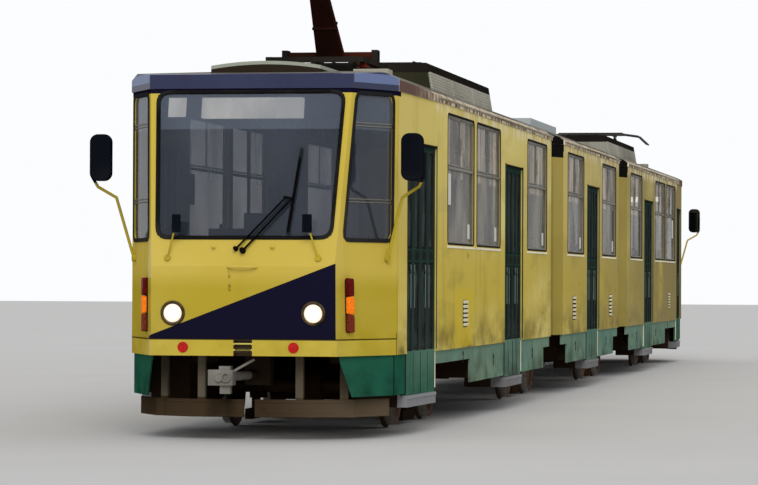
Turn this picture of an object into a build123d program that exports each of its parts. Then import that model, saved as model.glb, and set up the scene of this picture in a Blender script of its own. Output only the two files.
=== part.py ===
"""A three-section articulated tram on four two-axle bogies, with a cab at each end.

Millimetres. In the finished part +Z is up, the first cab faces -Y, and the origin is on the floor plane
under the middle of the vehicle, at the tips of the wheel flanges. The sections are drawn in a working
frame whose Y starts at the nose and whose Z starts at the rail top; `front` and `rear` put them in place.
"""
from build123d import *
import math
import os

# Overall sizes
BODY_LENGTH = 30300.0
BODY_WIDTH = 2480.0
BOGIE_SPACING = 7500.0
WHEELBASE = 1900.0
WHEEL_DIAMETER = 700.0
GAUGE = 1435.0
FLANGE_DEPTH = 25.0

# Heights above the rail
LIFEGUARD_BOTTOM = 168.0
STEP_BOTTOM = 225.0
STEP_TOP = 325.0
SKIRT_DEEP = 345.0
SKIRT_SHALLOW = 572.0
SKIRT_LINE = 688.0
BUMPER_TOP = 825.0
FLOOR_UNDERSIDE = 800.0
FLOOR_TOP = 900.0
CREASE = 1433.0
WINDOW_BOTTOM = 1657.0
WINDOW_TOP = 2856.0
DOOR_TOP = 2515.0
ROOF_SEAT = 2930.0
ROOF_TOP = 3150.0
LAMP_HEIGHT = 1042.0

# Thicknesses and clearances
WALL = 60.0
SKIRT_PLATE = 20.0
SKIRT_RECESS = 20.0
GLASS = 6.0
ROOF_PLATE = 45.0
FIT = 0.3
RUNNING = 6.0
HOLE_MARGIN = 1.0
TUBE_RADIUS = 16.0

# Plan of the body, from the nose backwards
NOSE_HALF_WIDTH = 779.0
CORNER_HALF_WIDTH = 1156.0
CORNER_Y = 850.0
TAPER_END_Y = 3050.0
NOSE_TOP_SETBACK = 318.0
NOSE_TOP_HALF_WIDTH = 865.0
NOSE_FOOT_SETBACK = 48.0
NOSE_FOOT_HALF_WIDTH = 790.0
CHAMFER_LENGTH = 280.0
CHAMFER_DEPTH = 90.0
PORTAL_GAP = 640.0
WALL_END_GAP = PORTAL_GAP + 2 * CHAMFER_LENGTH
GANGWAY_WIDTH = 1300.0
GANGWAY_TOP = 2750.0

# Bogie pivots and the turntables over the shared bogies
PIVOT_RADIUS = 90.0
PIVOT_HEIGHT = 80.0
TURNTABLE_RADIUS = 640.0
TURNTABLE_SPLIT = 850.0
AXLE_RADIUS = 62.0

# Doorways
DOOR_WIDTH = 1260.0
DOOR_1_Y = 1300.0
DOOR_2_Y = 7010.0
LEAF_THICKNESS = 30.0
LEAF_RECESS = 15.0
LEAF_GAP = 12.0
LEAF_BORDER = 48.0
LEAF_FOOT = 380.0
BARREL_LENGTH = 60.0
BARREL_HEIGHTS = (600.0, 1500.0, 2250.0)
BARREL_RADIUS = 5.5
BARREL_REACH = 3.0
POST_RADIUS = 5.0
FIRST_TREAD = 350.0
SECOND_TREAD = 270.0
SECOND_TREAD_HEIGHT = 620.0
STEP_PLATE = 20.0

# Cab front: lamps, guards and fittings
HEADLAMP_X = 597.0
HEADLAMP_RADIUS = 88.0
BEZEL_RADIUS = 104.0
REFLECTOR_X = (-510.0, 430.0)
REFLECTOR_HEIGHT = 758.0
STRIP_LAMP = (880.0, 1340.0)
STRIP_SHARE = 0.195
STRIP_DEPTH = 46.0
LIFEGUARD_PLAN = [(45.0, 300.0), (500.0, 330.0), (850.0, 500.0), (1086.0, 900.0)]
LIFEGUARD_POSTS = (420.0, 775.0)
COUPLER_PIN_RADIUS = 15.0
BROW_HEIGHT = 3050.0
BROW_END_Y = 1500.0
NOSE_JOINT = 812.0
CORNER_LIGHT = (0.105, 0.905)
PARTITION_Y = 1235.0
SEAT_WIDTH = 440.0

# Pantograph, seen with its knee towards the nose
PANTO_Y = 3850.0
PANTO_Z = 3430.0
LOWER_ARM = 1350.0
UPPER_ARM = 1750.0
RAISED_LOWER = 42.0
RAISED_UPPER = 39.0
FOLD = 39.0
HEAD_RATIO = 0.93
HEAD_HALF = 900.0
BASE_RAIL = 3330.0
SHAFT_RADIUS = 45.0
HEAD_BAR_RADIUS = 20.0

HALF_WIDTH = BODY_WIDTH / 2
HALF_LENGTH = BODY_LENGTH / 2
WHEEL_RADIUS = WHEEL_DIAMETER / 2
JOINT_Y = HALF_LENGTH - BOGIE_SPACING / 2
END_BOGIE_Y = JOINT_Y - BOGIE_SPACING
SECTION_END_Y = JOINT_Y - PORTAL_GAP / 2

# Windows of each section: start and length along the side
END_WINDOWS = [(3090.0, 1660.0), (4920.0, 1670.0), (8690.0, 1700.0)]
MIDDLE_WINDOWS = [(12390.0, 1710.0), (BODY_LENGTH - 14100.0, 1710.0)]
END_DOORS = [DOOR_1_Y, DOOR_2_Y]
END_POLES = [DOOR_1_Y + DOOR_WIDTH + 60.0, DOOR_2_Y - 60.0, DOOR_2_Y + DOOR_WIDTH + 60.0]
MIDDLE_DOORS = [HALF_LENGTH - DOOR_WIDTH / 2]

MIDDLE_POLES = [MIDDLE_DOORS[0] - 60.0, MIDDLE_DOORS[0] + DOOR_WIDTH + 60.0]

# Seats: the front edge along the vehicle, and which way they face
END_SEATS = [(3250.0, 1), (4050.0, 1), (4850.0, 1), (5650.0, 1), (8650.0, 1), (9450.0, 1)]
MIDDLE_SEATS = [(12500.0, 1), (13300.0, 1), (BODY_LENGTH - 12500.0, -1), (BODY_LENGTH - 13300.0, -1)]

# Skirt plates: start, end, bottom edge
END_SKIRTS = [
    (DOOR_1_Y + DOOR_WIDTH, 4670.0, SKIRT_SHALLOW),
    (4670.0, DOOR_2_Y, SKIRT_DEEP),
    (DOOR_2_Y + DOOR_WIDTH, JOINT_Y - 1130.0, SKIRT_DEEP),
    (JOINT_Y - 1130.0, JOINT_Y - WALL_END_GAP / 2, SKIRT_SHALLOW),
]
MIDDLE_SKIRTS = [
    (JOINT_Y + WALL_END_GAP / 2, JOINT_Y + 1130.0, SKIRT_SHALLOW),
    (JOINT_Y + 1130.0, MIDDLE_DOORS[0], SKIRT_DEEP),
]

front = Pos(0, -HALF_LENGTH, FLANGE_DEPTH)
rear = Rot(0, 0, 180) * front


def block(x, y, z):
    """A box from its low and high value along each axis."""
    middle = [(low + high) / 2 for low, high in (x, y, z)]
    return Pos(*middle) * Box(x[1] - x[0], y[1] - y[0], z[1] - z[0])


def both(shape):
    """A shape and its mirror image on the other side of the vehicle."""
    return [shape, mirror(shape, Plane.YZ)]


def plan_prism(points, low, high):
    """A plan outline raised from one height to another."""
    return extrude(Pos(0, 0, low) * Polygon(*points, align=None), high - low, dir=(0, 0, 1))


def side_prism(points, low, high):
    """An outline in Y and Z carried across from one X to another."""
    plane = Plane(origin=(low, 0, 0), x_dir=(0, 1, 0), z_dir=(1, 0, 0))
    return extrude(plane * Polygon(*points, align=None), high - low, dir=(1, 0, 0))


def cross_prism(sketch, low, high):
    """A sketch in X and Z carried along the vehicle from one Y to another."""
    plane = Plane(origin=(0, high, 0), x_dir=(1, 0, 0), z_dir=(0, -1, 0))
    return extrude(plane * sketch, high - low, dir=(0, -1, 0))


def side_panel(y, z, radius, x):
    """A rounded rectangle in the side wall, carried from one X to another."""
    middle = ((y[0] + y[1]) / 2, (z[0] + z[1]) / 2)
    outline = Pos(*middle) * RectangleRounded(y[1] - y[0], z[1] - z[0], radius)
    plane = Plane(origin=(x[0], 0, 0), x_dir=(0, 1, 0), z_dir=(1, 0, 0))
    return extrude(plane * outline, x[1] - x[0], dir=(1, 0, 0))


def barrel(x, y, z, radius):
    """An upright round bar from one height to another."""
    return Pos(x, y, z[0]) * Cylinder(radius, z[1] - z[0], align=(Align.CENTER, Align.CENTER, Align.MIN))


def rod(start, end, radius):
    """A round bar between two points."""
    start, end = Vector(*start), Vector(*end)
    return extrude(Plane(origin=start, z_dir=end - start) * Circle(radius), (end - start).length)


def offset_chain(chain, inset):
    """An outline of half the vehicle, moved inwards by the inset with its corners kept sharp."""
    lines = []
    for (x0, y0), (x1, y1) in zip(chain, chain[1:]):
        length = math.hypot(x1 - x0, y1 - y0)
        nx, ny = -(y1 - y0) / length * inset, (x1 - x0) / length * inset
        lines.append(((x0 + nx, y0 + ny), (x1 + nx, y1 + ny)))
    moved = [lines[0][0]]
    for ((ax, ay), (bx, by)), ((cx, cy), (dx, dy)) in zip(lines, lines[1:]):
        ux, uy, vx, vy = bx - ax, by - ay, dx - cx, dy - cy
        along = ((cx - ax) * vy - (cy - ay) * vx) / (ux * vy - uy * vx)
        moved.append((ax + along * ux, ay + along * uy))
    return moved + [lines[-1][1]]


def closed(chain):
    """The whole outline of a half outline that runs from the middle line back to it."""
    return chain + [(-x, y) for x, y in reversed(chain) if abs(x) > 1e-6]


def nose_at(height):
    """Half width and setback of the nose at a height."""
    if height < CREASE:
        share = (CREASE - height) / (CREASE - SKIRT_LINE)
        return (NOSE_HALF_WIDTH + share * (NOSE_FOOT_HALF_WIDTH - NOSE_HALF_WIDTH), share * NOSE_FOOT_SETBACK)
    share = (height - CREASE) / (ROOF_SEAT - CREASE)
    return (NOSE_HALF_WIDTH + share * (NOSE_TOP_HALF_WIDTH - NOSE_HALF_WIDTH), share * NOSE_TOP_SETBACK)


def end_plan(height):
    """Half outline of an end section, from the nose round to the articulation."""
    half_width, setback = nose_at(height)
    return [
        (0.0, setback),
        (half_width, setback),
        (CORNER_HALF_WIDTH, CORNER_Y),
        (HALF_WIDTH, TAPER_END_Y),
        (HALF_WIDTH, SECTION_END_Y - CHAMFER_LENGTH),
        (HALF_WIDTH - CHAMFER_DEPTH, SECTION_END_Y),
        (0.0, SECTION_END_Y),
    ]


def middle_plan():
    """Half outline of the middle section."""
    start = JOINT_Y + PORTAL_GAP / 2
    end = BODY_LENGTH - start
    return [
        (0.0, start),
        (HALF_WIDTH - CHAMFER_DEPTH, start),
        (HALF_WIDTH, start + CHAMFER_LENGTH),
        (HALF_WIDTH, end - CHAMFER_LENGTH),
        (HALF_WIDTH - CHAMFER_DEPTH, end),
        (0.0, end),
    ]


def side_x(y, inset=0.0):
    """Half width of an end section at a distance from the nose, with the taper beside the first door."""
    share = min(1.0, (y - CORNER_Y) / (TAPER_END_Y - CORNER_Y))
    return CORNER_HALF_WIDTH + share * (HALF_WIDTH - CORNER_HALF_WIDTH) - inset


def side_strip(y, inset, z):
    """A plate that follows the side wall of an end section between two insets, on the +X side."""
    points = [(side_x(y[0], inset[0]), y[0]), (side_x(y[1], inset[0]), y[1]),
              (side_x(y[1], inset[1]), y[1]), (side_x(y[0], inset[1]), y[0])]
    return plan_prism(points, *z)


def nose_loft(inset):
    """The nose between its foot, its crease and the roof, moved inwards by the inset."""
    rings = []
    for height in (SKIRT_LINE, CREASE, ROOF_SEAT):
        chain = offset_chain(end_plan(height), inset)[:3]
        if inset == 0.0:
            chain[2] = (CORNER_HALF_WIDTH, CORNER_Y)
        rings.append(Pos(0, 0, height) * Polygon(*closed(chain[1:]), align=None))
    return loft(rings, ruled=True)


def windscreen_cutter(margin, y):
    """The windscreen's rounded trapezium carried through the nose."""
    bottom, top = WINDOW_BOTTOM + 13.0 + margin, WINDOW_TOP + 44.0 - margin
    low, high = 740.0 - margin, 800.0 - margin
    outline = Polygon((-low, bottom), (low, bottom), (high, top), (-high, top), align=None)
    return cross_prism(fillet(outline.vertices(), 60.0 - margin), *y)


def corner_cutter(margin, depth):
    """The cab's corner window carried along the normal of its panel, on the +X side, its ends leaning with the nose."""
    low, high = WINDOW_BOTTOM, WINDOW_TOP + 34.0
    corner = Vector(CORNER_HALF_WIDTH, CORNER_Y, 0)
    start = Vector(*nose_at((low + high) / 2), 0)
    along = (corner - start).normalized()
    plane = Plane(origin=start, x_dir=along, z_dir=Vector(along.Y, -along.X, 0))

    def reach(share, height):
        edge = Vector(*nose_at(height), 0)
        return (edge + (corner - edge) * share - start).dot(along)

    ends = [(CORNER_LIGHT[0], margin), (CORNER_LIGHT[1], -margin)]
    bottom = [(reach(share, low) + inset, low + margin) for share, inset in ends]
    top = [(reach(share, high) + inset, high - margin) for share, inset in ends[::-1]]
    outline = Polygon(*bottom, *top, align=None)
    outline = fillet(outline.vertices(), 90.0 - margin)
    return extrude(plane * outline, depth[1]) + extrude(plane * outline, -depth[0])


def panels(shape, y_joints, corner_joints=()):
    """Cut a shell into its panels at hair-thin joints across it, and at joints along it within a stretch."""
    for y in y_joints:
        shape -= block((-HALF_WIDTH - 20.0, HALF_WIDTH + 20.0), (y - FIT / 2, y + FIT / 2), (SKIRT_LINE - 1, ROOF_SEAT + 1))
    for x, start, end in corner_joints:
        for side in (-x, x):
            shape -= block((side - FIT / 2, side + FIT / 2), (start, end), (SKIRT_LINE - 1, ROOF_SEAT + 1))
    return shape


def doorway(y, depth=WALL):
    """A doorway cut through the wall from the skirt line up, on both sides."""
    return block((-HALF_WIDTH - depth, HALF_WIDTH + depth), (y, y + DOOR_WIDTH), (SKIRT_LINE - 1, DOOR_TOP))


def wall_openings(windows, doors):
    """Everything cut through the side walls of a section."""
    reach = (-HALF_WIDTH - WALL, HALF_WIDTH + WALL)
    cuts = [side_panel((y, y + length), (WINDOW_BOTTOM, WINDOW_TOP), 50.0, reach) for y, length in windows]
    return cuts + [doorway(y) for y in doors]


def gangway(y):
    """The passage through the end wall beside the articulation."""
    half = GANGWAY_WIDTH / 2
    return block((-half, half), (y - WALL * 3, y + WALL * 3), (FLOOR_TOP, GANGWAY_TOP))


def turntable_space(y):
    """The room the turntable's plates need in the end walls."""
    return barrel(0, y, (FLOOR_UNDERSIDE - RUNNING, FLOOR_TOP + HOLE_MARGIN), TURNTABLE_RADIUS + RUNNING)


def end_body():
    """Walls of an end section with the cab mask, its bumper and the end portal."""
    chain = end_plan(SKIRT_LINE)
    outer = closed([(0.0, CORNER_Y)] + chain[2:])
    inner = closed([(0.0, CORNER_Y - WALL)] + [(CORNER_HALF_WIDTH - WALL, CORNER_Y - WALL)]
                   + offset_chain(chain, WALL)[3:])
    walls = plan_prism(outer, SKIRT_LINE, ROOF_SEAT) - plan_prism(inner, SKIRT_LINE, ROOF_SEAT)
    mask = nose_loft(0.0) - nose_loft(WALL)
    bumper_chain = offset_chain(end_plan(BUMPER_TOP), -12.0)[:3]
    bumper_ring = closed([(0.0, bumper_chain[0][1])] + bumper_chain[1:2] + [(CORNER_HALF_WIDTH, CORNER_Y)])
    hollow_chain = offset_chain(end_plan(SKIRT_LINE), WALL)[:3]
    hollow = closed([(0.0, hollow_chain[0][1])] + hollow_chain[1:])
    bumper = plan_prism(bumper_ring, SKIRT_LINE, BUMPER_TOP) - plan_prism(hollow, SKIRT_LINE, BUMPER_TOP)
    body = walls + mask + bumper
    body -= windscreen_cutter(0.0, (-50.0, 600.0))
    for cutter in both(corner_cutter(0.0, (150.0, 120.0))):
        body -= cutter
    for cutter in wall_openings(END_WINDOWS, END_DOORS) + [gangway(SECTION_END_Y)]:
        body -= cutter
    for cutter in lamp_holes():
        body -= cutter
    notch = block((-70.0, 70.0), (-50.0, NOSE_FOOT_SETBACK + 25.0), (SKIRT_LINE - 1, BUMPER_TOP - 10.0))
    body -= notch
    body -= turntable_space(JOINT_Y)
    for height in (720.0, 755.0, 790.0):
        body += block((-72.0, 72.0), (NOSE_FOOT_SETBACK - 6.0, NOSE_FOOT_SETBACK + 30.0), (height - 6, height + 6))
    door_joints = [y for door_y in END_DOORS for y in (door_y, door_y + DOOR_WIDTH)]
    portal_joints = [SECTION_END_Y - CHAMFER_LENGTH, SECTION_END_Y - WALL]
    return panels(body, [CORNER_Y] + door_joints + portal_joints,
                  [(NOSE_JOINT, -100.0, CORNER_Y), (GANGWAY_WIDTH / 2, SECTION_END_Y - WALL, SECTION_END_Y + 1)])


def middle_body():
    """Walls of the middle section with an end portal at each articulation."""
    chain = middle_plan()
    walls = plan_prism(closed(chain), SKIRT_LINE, ROOF_SEAT)
    walls -= plan_prism(closed(offset_chain(chain, WALL)), SKIRT_LINE, ROOF_SEAT)
    for cutter in wall_openings(MIDDLE_WINDOWS, MIDDLE_DOORS) + [gangway(chain[0][1]), gangway(chain[-1][1])]:
        walls -= cutter
    for y in (JOINT_Y, BODY_LENGTH - JOINT_Y):
        walls -= turntable_space(y)
    start, end = chain[0][1], chain[-1][1]
    joints = [start + WALL, start + CHAMFER_LENGTH, end - CHAMFER_LENGTH, end - WALL]
    joints += [y for door_y in MIDDLE_DOORS for y in (door_y, door_y + DOOR_WIDTH)]
    return panels(walls, joints, [(GANGWAY_WIDTH / 2, start - 1, start + WALL), (GANGWAY_WIDTH / 2, end - WALL, end + 1)])


def roof_arch(inset):
    """Cross-section of the roof, from the top of the wall over the crown."""
    half = HALF_WIDTH + 12.0 - inset
    eave, shoulder, crown = ROOF_SEAT + 45.0, ROOF_TOP - 65.0 - inset, ROOF_TOP - inset
    with BuildSketch() as sketch:
        with BuildLine():
            Line((-half, ROOF_SEAT - inset), (-half, eave))
            ThreePointArc((-half, eave), (-half + 70.0, eave + 48.0), (-half + 190.0, shoulder))
            ThreePointArc((-half + 190.0, shoulder), (0, crown), (half - 190.0, shoulder))
            ThreePointArc((half - 190.0, shoulder), (half - 70.0, eave + 48.0), (half, eave))
            Line((half, eave), (half, ROOF_SEAT - inset))
            Line((half, ROOF_SEAT - inset), (-half, ROOF_SEAT - inset))
        make_face()
    return sketch.sketch


def brow_cut(inset):
    """What the sloping brow over a windscreen takes from the arch, moved down by the inset."""
    foot = BROW_HEIGHT - (ROOF_TOP - BROW_HEIGHT) * (NOSE_TOP_SETBACK + 100.0) / (BROW_END_Y - NOSE_TOP_SETBACK)
    points = [(-100.0, foot - inset), (BROW_END_Y, ROOF_TOP - inset), (BROW_END_Y, ROOF_TOP + 60.0), (-100.0, ROOF_TOP + 60.0)]
    return side_prism(points, -HALF_WIDTH - 100.0, HALF_WIDTH + 100.0)


def roof_shell(chain, length, brow=False):
    """A roof: the arch over the section's outline, hollow underneath, with a vertical fascia round the ends."""
    outline = closed(offset_chain(chain, -12.0))
    shell = plan_prism(outline, ROOF_SEAT, ROOF_TOP + 10) & cross_prism(roof_arch(0.0), -100.0, length)
    hollow = plan_prism(closed(offset_chain(chain, WALL)), ROOF_SEAT - 1, ROOF_TOP) & cross_prism(roof_arch(ROOF_PLATE), -50.0, length)
    if brow:
        shell -= brow_cut(0.0)
        hollow -= brow_cut(ROOF_PLATE)
    return shell - hollow


def step_well(y):
    """The stairwell of one doorway on the +X side: what is cut from the floor, and the steps that fill it.

    The end cheeks stand just outside the doorway, so that folding leaves have its whole length.
    """
    cheek_x = side_x(y - STEP_PLATE) - WALL - FIT
    riser = side_x(y) - LEAF_RECESS - LEAF_THICKNESS - LEAF_GAP - FIRST_TREAD
    top_riser = riser - SECOND_TREAD
    start, end = y, y + DOOR_WIDTH
    cut = block((top_riser + STEP_PLATE, HALF_WIDTH), (start, end), (FLOOR_UNDERSIDE - HOLE_MARGIN, FLOOR_TOP + HOLE_MARGIN))
    along = (start - STEP_PLATE, end + STEP_PLATE)
    underside = SECOND_TREAD_HEIGHT - STEP_PLATE
    plates = [
        block((top_riser, top_riser + STEP_PLATE), along, (SECOND_TREAD_HEIGHT + FIT, FLOOR_UNDERSIDE - FIT)),
        block((top_riser, riser), along, (underside, SECOND_TREAD_HEIGHT)),
        block((riser - STEP_PLATE, riser), along, (STEP_BOTTOM, underside - FIT)),
        plan_prism([(riser + FIT, start), (side_x(start), start), (side_x(end), end), (riser + FIT, end)], STEP_BOTTOM, STEP_TOP),
    ]
    for cheek_y in (start - STEP_PLATE, end + FIT):
        ends = (cheek_y, cheek_y + STEP_PLATE - FIT)
        plates.append(block((top_riser + STEP_PLATE + FIT, cheek_x), ends, (SECOND_TREAD_HEIGHT + FIT, FLOOR_UNDERSIDE - FIT)))
        plates.append(block((riser + FIT, cheek_x), ends, (STEP_BOTTOM, SECOND_TREAD_HEIGHT)))
    return cut, plates


def floor_of(chain, doors, sockets, equipment):
    """A floor deck between the walls in planks, and what hangs under it: stairwells and equipment boxes."""
    deck, hung = plan_prism(closed(offset_chain(chain, WALL + FIT)), FLOOR_UNDERSIDE, FLOOR_TOP), []
    for y in doors:
        cut, plates = step_well(y)
        for side_cut in both(cut):
            deck -= side_cut
        for joint in (y, y + DOOR_WIDTH):
            deck -= block((-HALF_WIDTH, HALF_WIDTH), (joint - FIT / 2, joint + FIT / 2), (FLOOR_UNDERSIDE - 1, FLOOR_TOP + 1))
        hung += [side_plate for plate in plates for side_plate in both(plate)]
    for y in sockets:
        deck -= pivot_bore(y)
    return deck, hung + [block(x, y, z) for x, y, z in equipment]


def end_floor():
    """Floor of an end section, with its equipment boxes between the bogies and its half of the turntable."""
    chain = end_plan(FLOOR_TOP)
    chain[0:2] = [(0.0, chain[0][1] + 20.0), (chain[1][0] - 10.0, chain[1][1] + 20.0)]
    equipment = [
        ((-1050.0, -300.0), (5400.0, 6900.0), (330.0, FLOOR_UNDERSIDE - FIT)),
        ((350.0, 1050.0), (5500.0, 6850.0), (360.0, FLOOR_UNDERSIDE - FIT)),
        ((-1050.0, -350.0), (8400.0, 9700.0), (340.0, FLOOR_UNDERSIDE - FIT)),
        ((300.0, 1050.0), (8450.0, 9600.0), (360.0, FLOOR_UNDERSIDE - FIT)),
    ]
    deck, hung = floor_of(chain, END_DOORS, [END_BOGIE_Y], equipment)
    deck -= barrel(0, JOINT_Y, (FLOOR_UNDERSIDE - HOLE_MARGIN, TURNTABLE_SPLIT + FIT), TURNTABLE_RADIUS + RUNNING)
    deck -= barrel(0, JOINT_Y, (TURNTABLE_SPLIT, FLOOR_TOP + HOLE_MARGIN), TURNTABLE_RADIUS + FIT)
    plate = barrel(0, JOINT_Y, (TURNTABLE_SPLIT + FIT, FLOOR_TOP), TURNTABLE_RADIUS)
    return [deck, plate - pivot_bore(JOINT_Y)] + hung


def middle_floor():
    """Floor of the middle section with its equipment boxes and its halves of the turntables."""
    equipment = [
        ((-1050.0, -350.0), (13000.0, 14350.0), (340.0, FLOOR_UNDERSIDE - FIT)),
        ((300.0, 1050.0), (13050.0, 14300.0), (360.0, FLOOR_UNDERSIDE - FIT)),
        ((-1050.0, -350.0), (15950.0, 17300.0), (340.0, FLOOR_UNDERSIDE - FIT)),
        ((300.0, 1050.0), (16000.0, 17250.0), (360.0, FLOOR_UNDERSIDE - FIT)),
    ]
    deck, hung = floor_of(middle_plan(), MIDDLE_DOORS, [], equipment)
    for y in (JOINT_Y, BODY_LENGTH - JOINT_Y):
        deck -= barrel(0, y, (TURNTABLE_SPLIT, FLOOR_TOP + HOLE_MARGIN), TURNTABLE_RADIUS + RUNNING)
        deck -= barrel(0, y, (FLOOR_UNDERSIDE - HOLE_MARGIN, TURNTABLE_SPLIT + 1), TURNTABLE_RADIUS + FIT)
        hung.append(barrel(0, y, (FLOOR_UNDERSIDE, TURNTABLE_SPLIT), TURNTABLE_RADIUS) - pivot_bore(y))
    return [deck] + hung


def pivot_bore(y):
    """The hole for a bogie's pivot pin, closed under the floor's top."""
    return barrel(0, y, (FLOOR_UNDERSIDE - HOLE_MARGIN, FLOOR_UNDERSIDE + PIVOT_HEIGHT + RUNNING),
                  PIVOT_RADIUS + RUNNING)


def skirt_run(rows):
    """Skirt plates in a row under the wall, joined into one panel, on the +X side."""
    panel = None
    for start, end, bottom in rows:
        stops = [start, TAPER_END_Y, end] if start < TAPER_END_Y < end else [start, end]
        for low, high in zip(stops, stops[1:]):
            plate = side_strip((low, high), (SKIRT_RECESS, SKIRT_RECESS + SKIRT_PLATE), (bottom, SKIRT_LINE))
            panel = plate if panel is None else panel + plate
    return panel


def end_skirts():
    """Skirts of an end section, with the corner panels under the cab."""
    return both(skirt_run(END_SKIRTS[:2])) + both(skirt_run(END_SKIRTS[2:])) + both(corner_skirt())


def middle_skirts():
    """Skirts of the middle section, the same at both ends."""
    panel = skirt_run(MIDDLE_SKIRTS)
    other = mirror(panel, Plane(origin=(0, HALF_LENGTH, 0), z_dir=(0, 1, 0)))
    return both(panel) + both(other)


def corner_skirt():
    """The deep panel round the cab corner, with its front edge cut back at the foot."""
    chain = end_plan(SKIRT_LINE)
    outer = offset_chain(chain, SKIRT_RECESS)
    inner = offset_chain(chain, SKIRT_RECESS + SKIRT_PLATE)
    start_share = 0.08
    front_outer = lerp(outer[1], outer[2], start_share)
    front_inner = lerp(inner[1], inner[2], start_share)
    end = DOOR_1_Y - FIT
    points = [front_outer, outer[2], (side_x(end, SKIRT_RECESS), end),
              (side_x(end, SKIRT_RECESS + SKIRT_PLATE), end), inner[2], front_inner]
    panel = plan_prism(points, SKIRT_DEEP, SKIRT_LINE)
    cut = Polygon((0.0, SKIRT_DEEP - 1), (front_outer[0] + 70.0, SKIRT_DEEP - 1), (front_outer[0] - 5.0, SKIRT_LINE - 40),
                  (0.0, SKIRT_LINE - 40), align=None)
    return panel - cross_prism(cut, 0.0, CORNER_Y)


def lerp(start, end, share):
    """A point part of the way from one to another."""
    return tuple(a + share * (b - a) for a, b in zip(start, end))


def side_panes(windows):
    """Window panes of both sides with the hopper bar's two sliding panes above."""
    panes = []
    x = (HALF_WIDTH - 30.0, HALF_WIDTH - 30.0 + GLASS)
    for y, length in windows:
        panes += both(side_panel((y + FIT, y + length - FIT), (WINDOW_BOTTOM + FIT, WINDOW_TOP - FIT), 50.0 - FIT, x))
    return panes


def cab_panes():
    """The windscreen and the two corner windows, following the nose."""
    skin = nose_loft(10.0) - nose_loft(10.0 + GLASS)
    panes = [skin & windscreen_cutter(FIT, (-50.0, 600.0))]
    return panes + [skin & cutter for cutter in both(corner_cutter(FIT, (150.0, 120.0)))]


def front_plane(x, height, lift=0.0):
    """A plane on the front panel, facing forwards, standing off it by the lift."""
    if height < CREASE:
        slope = math.atan2(-NOSE_FOOT_SETBACK, CREASE - SKIRT_LINE)
    else:
        slope = math.atan2(NOSE_TOP_SETBACK, ROOF_SEAT - CREASE)
    normal = Vector(0, -math.cos(slope), math.sin(slope))
    return Plane(origin=Vector(x, nose_at(height)[1], height) + normal * lift, x_dir=(1, 0, 0), z_dir=normal)


def corner_point(share, height):
    """A point on the cab's corner panel, part of the way from the nose to the side."""
    return Vector(*lerp(nose_at(height), (CORNER_HALF_WIDTH, CORNER_Y), share), height)


def corner_plane(share, height, lift=0.0):
    """A plane on the cab's corner panel, following its lean and facing out, on the +X side."""
    point = corner_point(share, height)
    run = (corner_point(1.0, height) - corner_point(0.0, height)).normalized()
    rise = corner_point(share, height + 100.0) - corner_point(share, height - 100.0)
    normal = run.cross(rise).normalized()
    return Plane(origin=point + normal * lift, x_dir=run, z_dir=normal)


def lamp_holes():
    """Holes for the two headlamps."""
    return [extrude(front_plane(x, LAMP_HEIGHT, -WALL - 20.0) * Circle(HEADLAMP_RADIUS + FIT), WALL + 40.0)
            for x in (-HEADLAMP_X, HEADLAMP_X)]


def headlamp(x):
    """A round headlamp: bowl through the panel, bezel standing on it, and a lens with a bevelled edge."""
    bowl = extrude(front_plane(x, LAMP_HEIGHT, -70.0) * Circle(HEADLAMP_RADIUS - 4.0), 75.0)
    bezel = extrude(front_plane(x, LAMP_HEIGHT, FIT) * Circle(BEZEL_RADIUS), 14.0)
    bezel = chamfer(bezel.edges().group_by(Axis.Y)[0], 5.0)
    lens = extrude(front_plane(x, LAMP_HEIGHT, 12.0) * Circle(HEADLAMP_RADIUS - 6.0), 8.0)
    return bowl + bezel + lens


def strip_lamp():
    """The tall signal lamp standing on the corner panel, +X side."""
    low, high = STRIP_LAMP
    plane = corner_plane(STRIP_SHARE, (low + high) / 2, 2 * FIT)
    return extrude(plane * RectangleRounded(80.0, high - low, 12.0), STRIP_DEPTH)


def reflector(x):
    """A round reflector on the bumper."""
    face = offset_chain(end_plan(BUMPER_TOP), -12.0)[0][1] - FIT
    plane = Plane(origin=(x, face, REFLECTOR_HEIGHT), x_dir=(1, 0, 0), z_dir=(0, -1, 0))
    return extrude(plane * Circle(45.0), 8.0) + extrude(plane * Circle(40.0), 12.0)


def end_lamps():
    """Headlamps, signal lamps and reflectors of one cab."""
    lamps = both(headlamp(HEADLAMP_X)) + [reflector(x) for x in REFLECTOR_X]
    return lamps + both(strip_lamp())


def seat(y, facing):
    """A shell seat on its pedestal, on the +X side: a bent pan and back from one profile."""
    pan = [(0, 430), (60, 440), (400, 420), (385, 455), (60, 470), (0, 455)]
    back = [(400, 421), (455, 520), (520, 900), (490, 905), (425, 530), (386, 456)]
    x = (HALF_WIDTH - WALL - 30.0 - SEAT_WIDTH, HALF_WIDTH - WALL - 30.0)
    shells = [side_prism([(y + facing * a, FLOOR_TOP + b) for a, b in outline], *x) for outline in (pan, back)]
    middle = y + facing * 230.0
    leg = block((sum(x) / 2 - 30.0, sum(x) / 2 + 30.0), (middle - 60.0, middle + 60.0), (FLOOR_TOP, FLOOR_TOP + 426.0))
    foot = block((sum(x) / 2 - 110.0, sum(x) / 2 + 110.0), (middle - 110.0, middle + 110.0), (FLOOR_TOP, FLOOR_TOP + 12.0))
    return shells + [leg + foot]


def pole(x, y):
    """A grab pole from the floor to the ceiling rail."""
    return barrel(x, y, (FLOOR_TOP, ROOF_SEAT), TUBE_RADIUS)


def saloon(seats, poles):
    """Seats and grab poles on both sides."""
    pieces = []
    for y, facing in seats:
        for piece in seat(y, facing):
            pieces += both(piece)
    for y in poles:
        pieces += both(pole(520.0, y))
    return pieces


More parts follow.
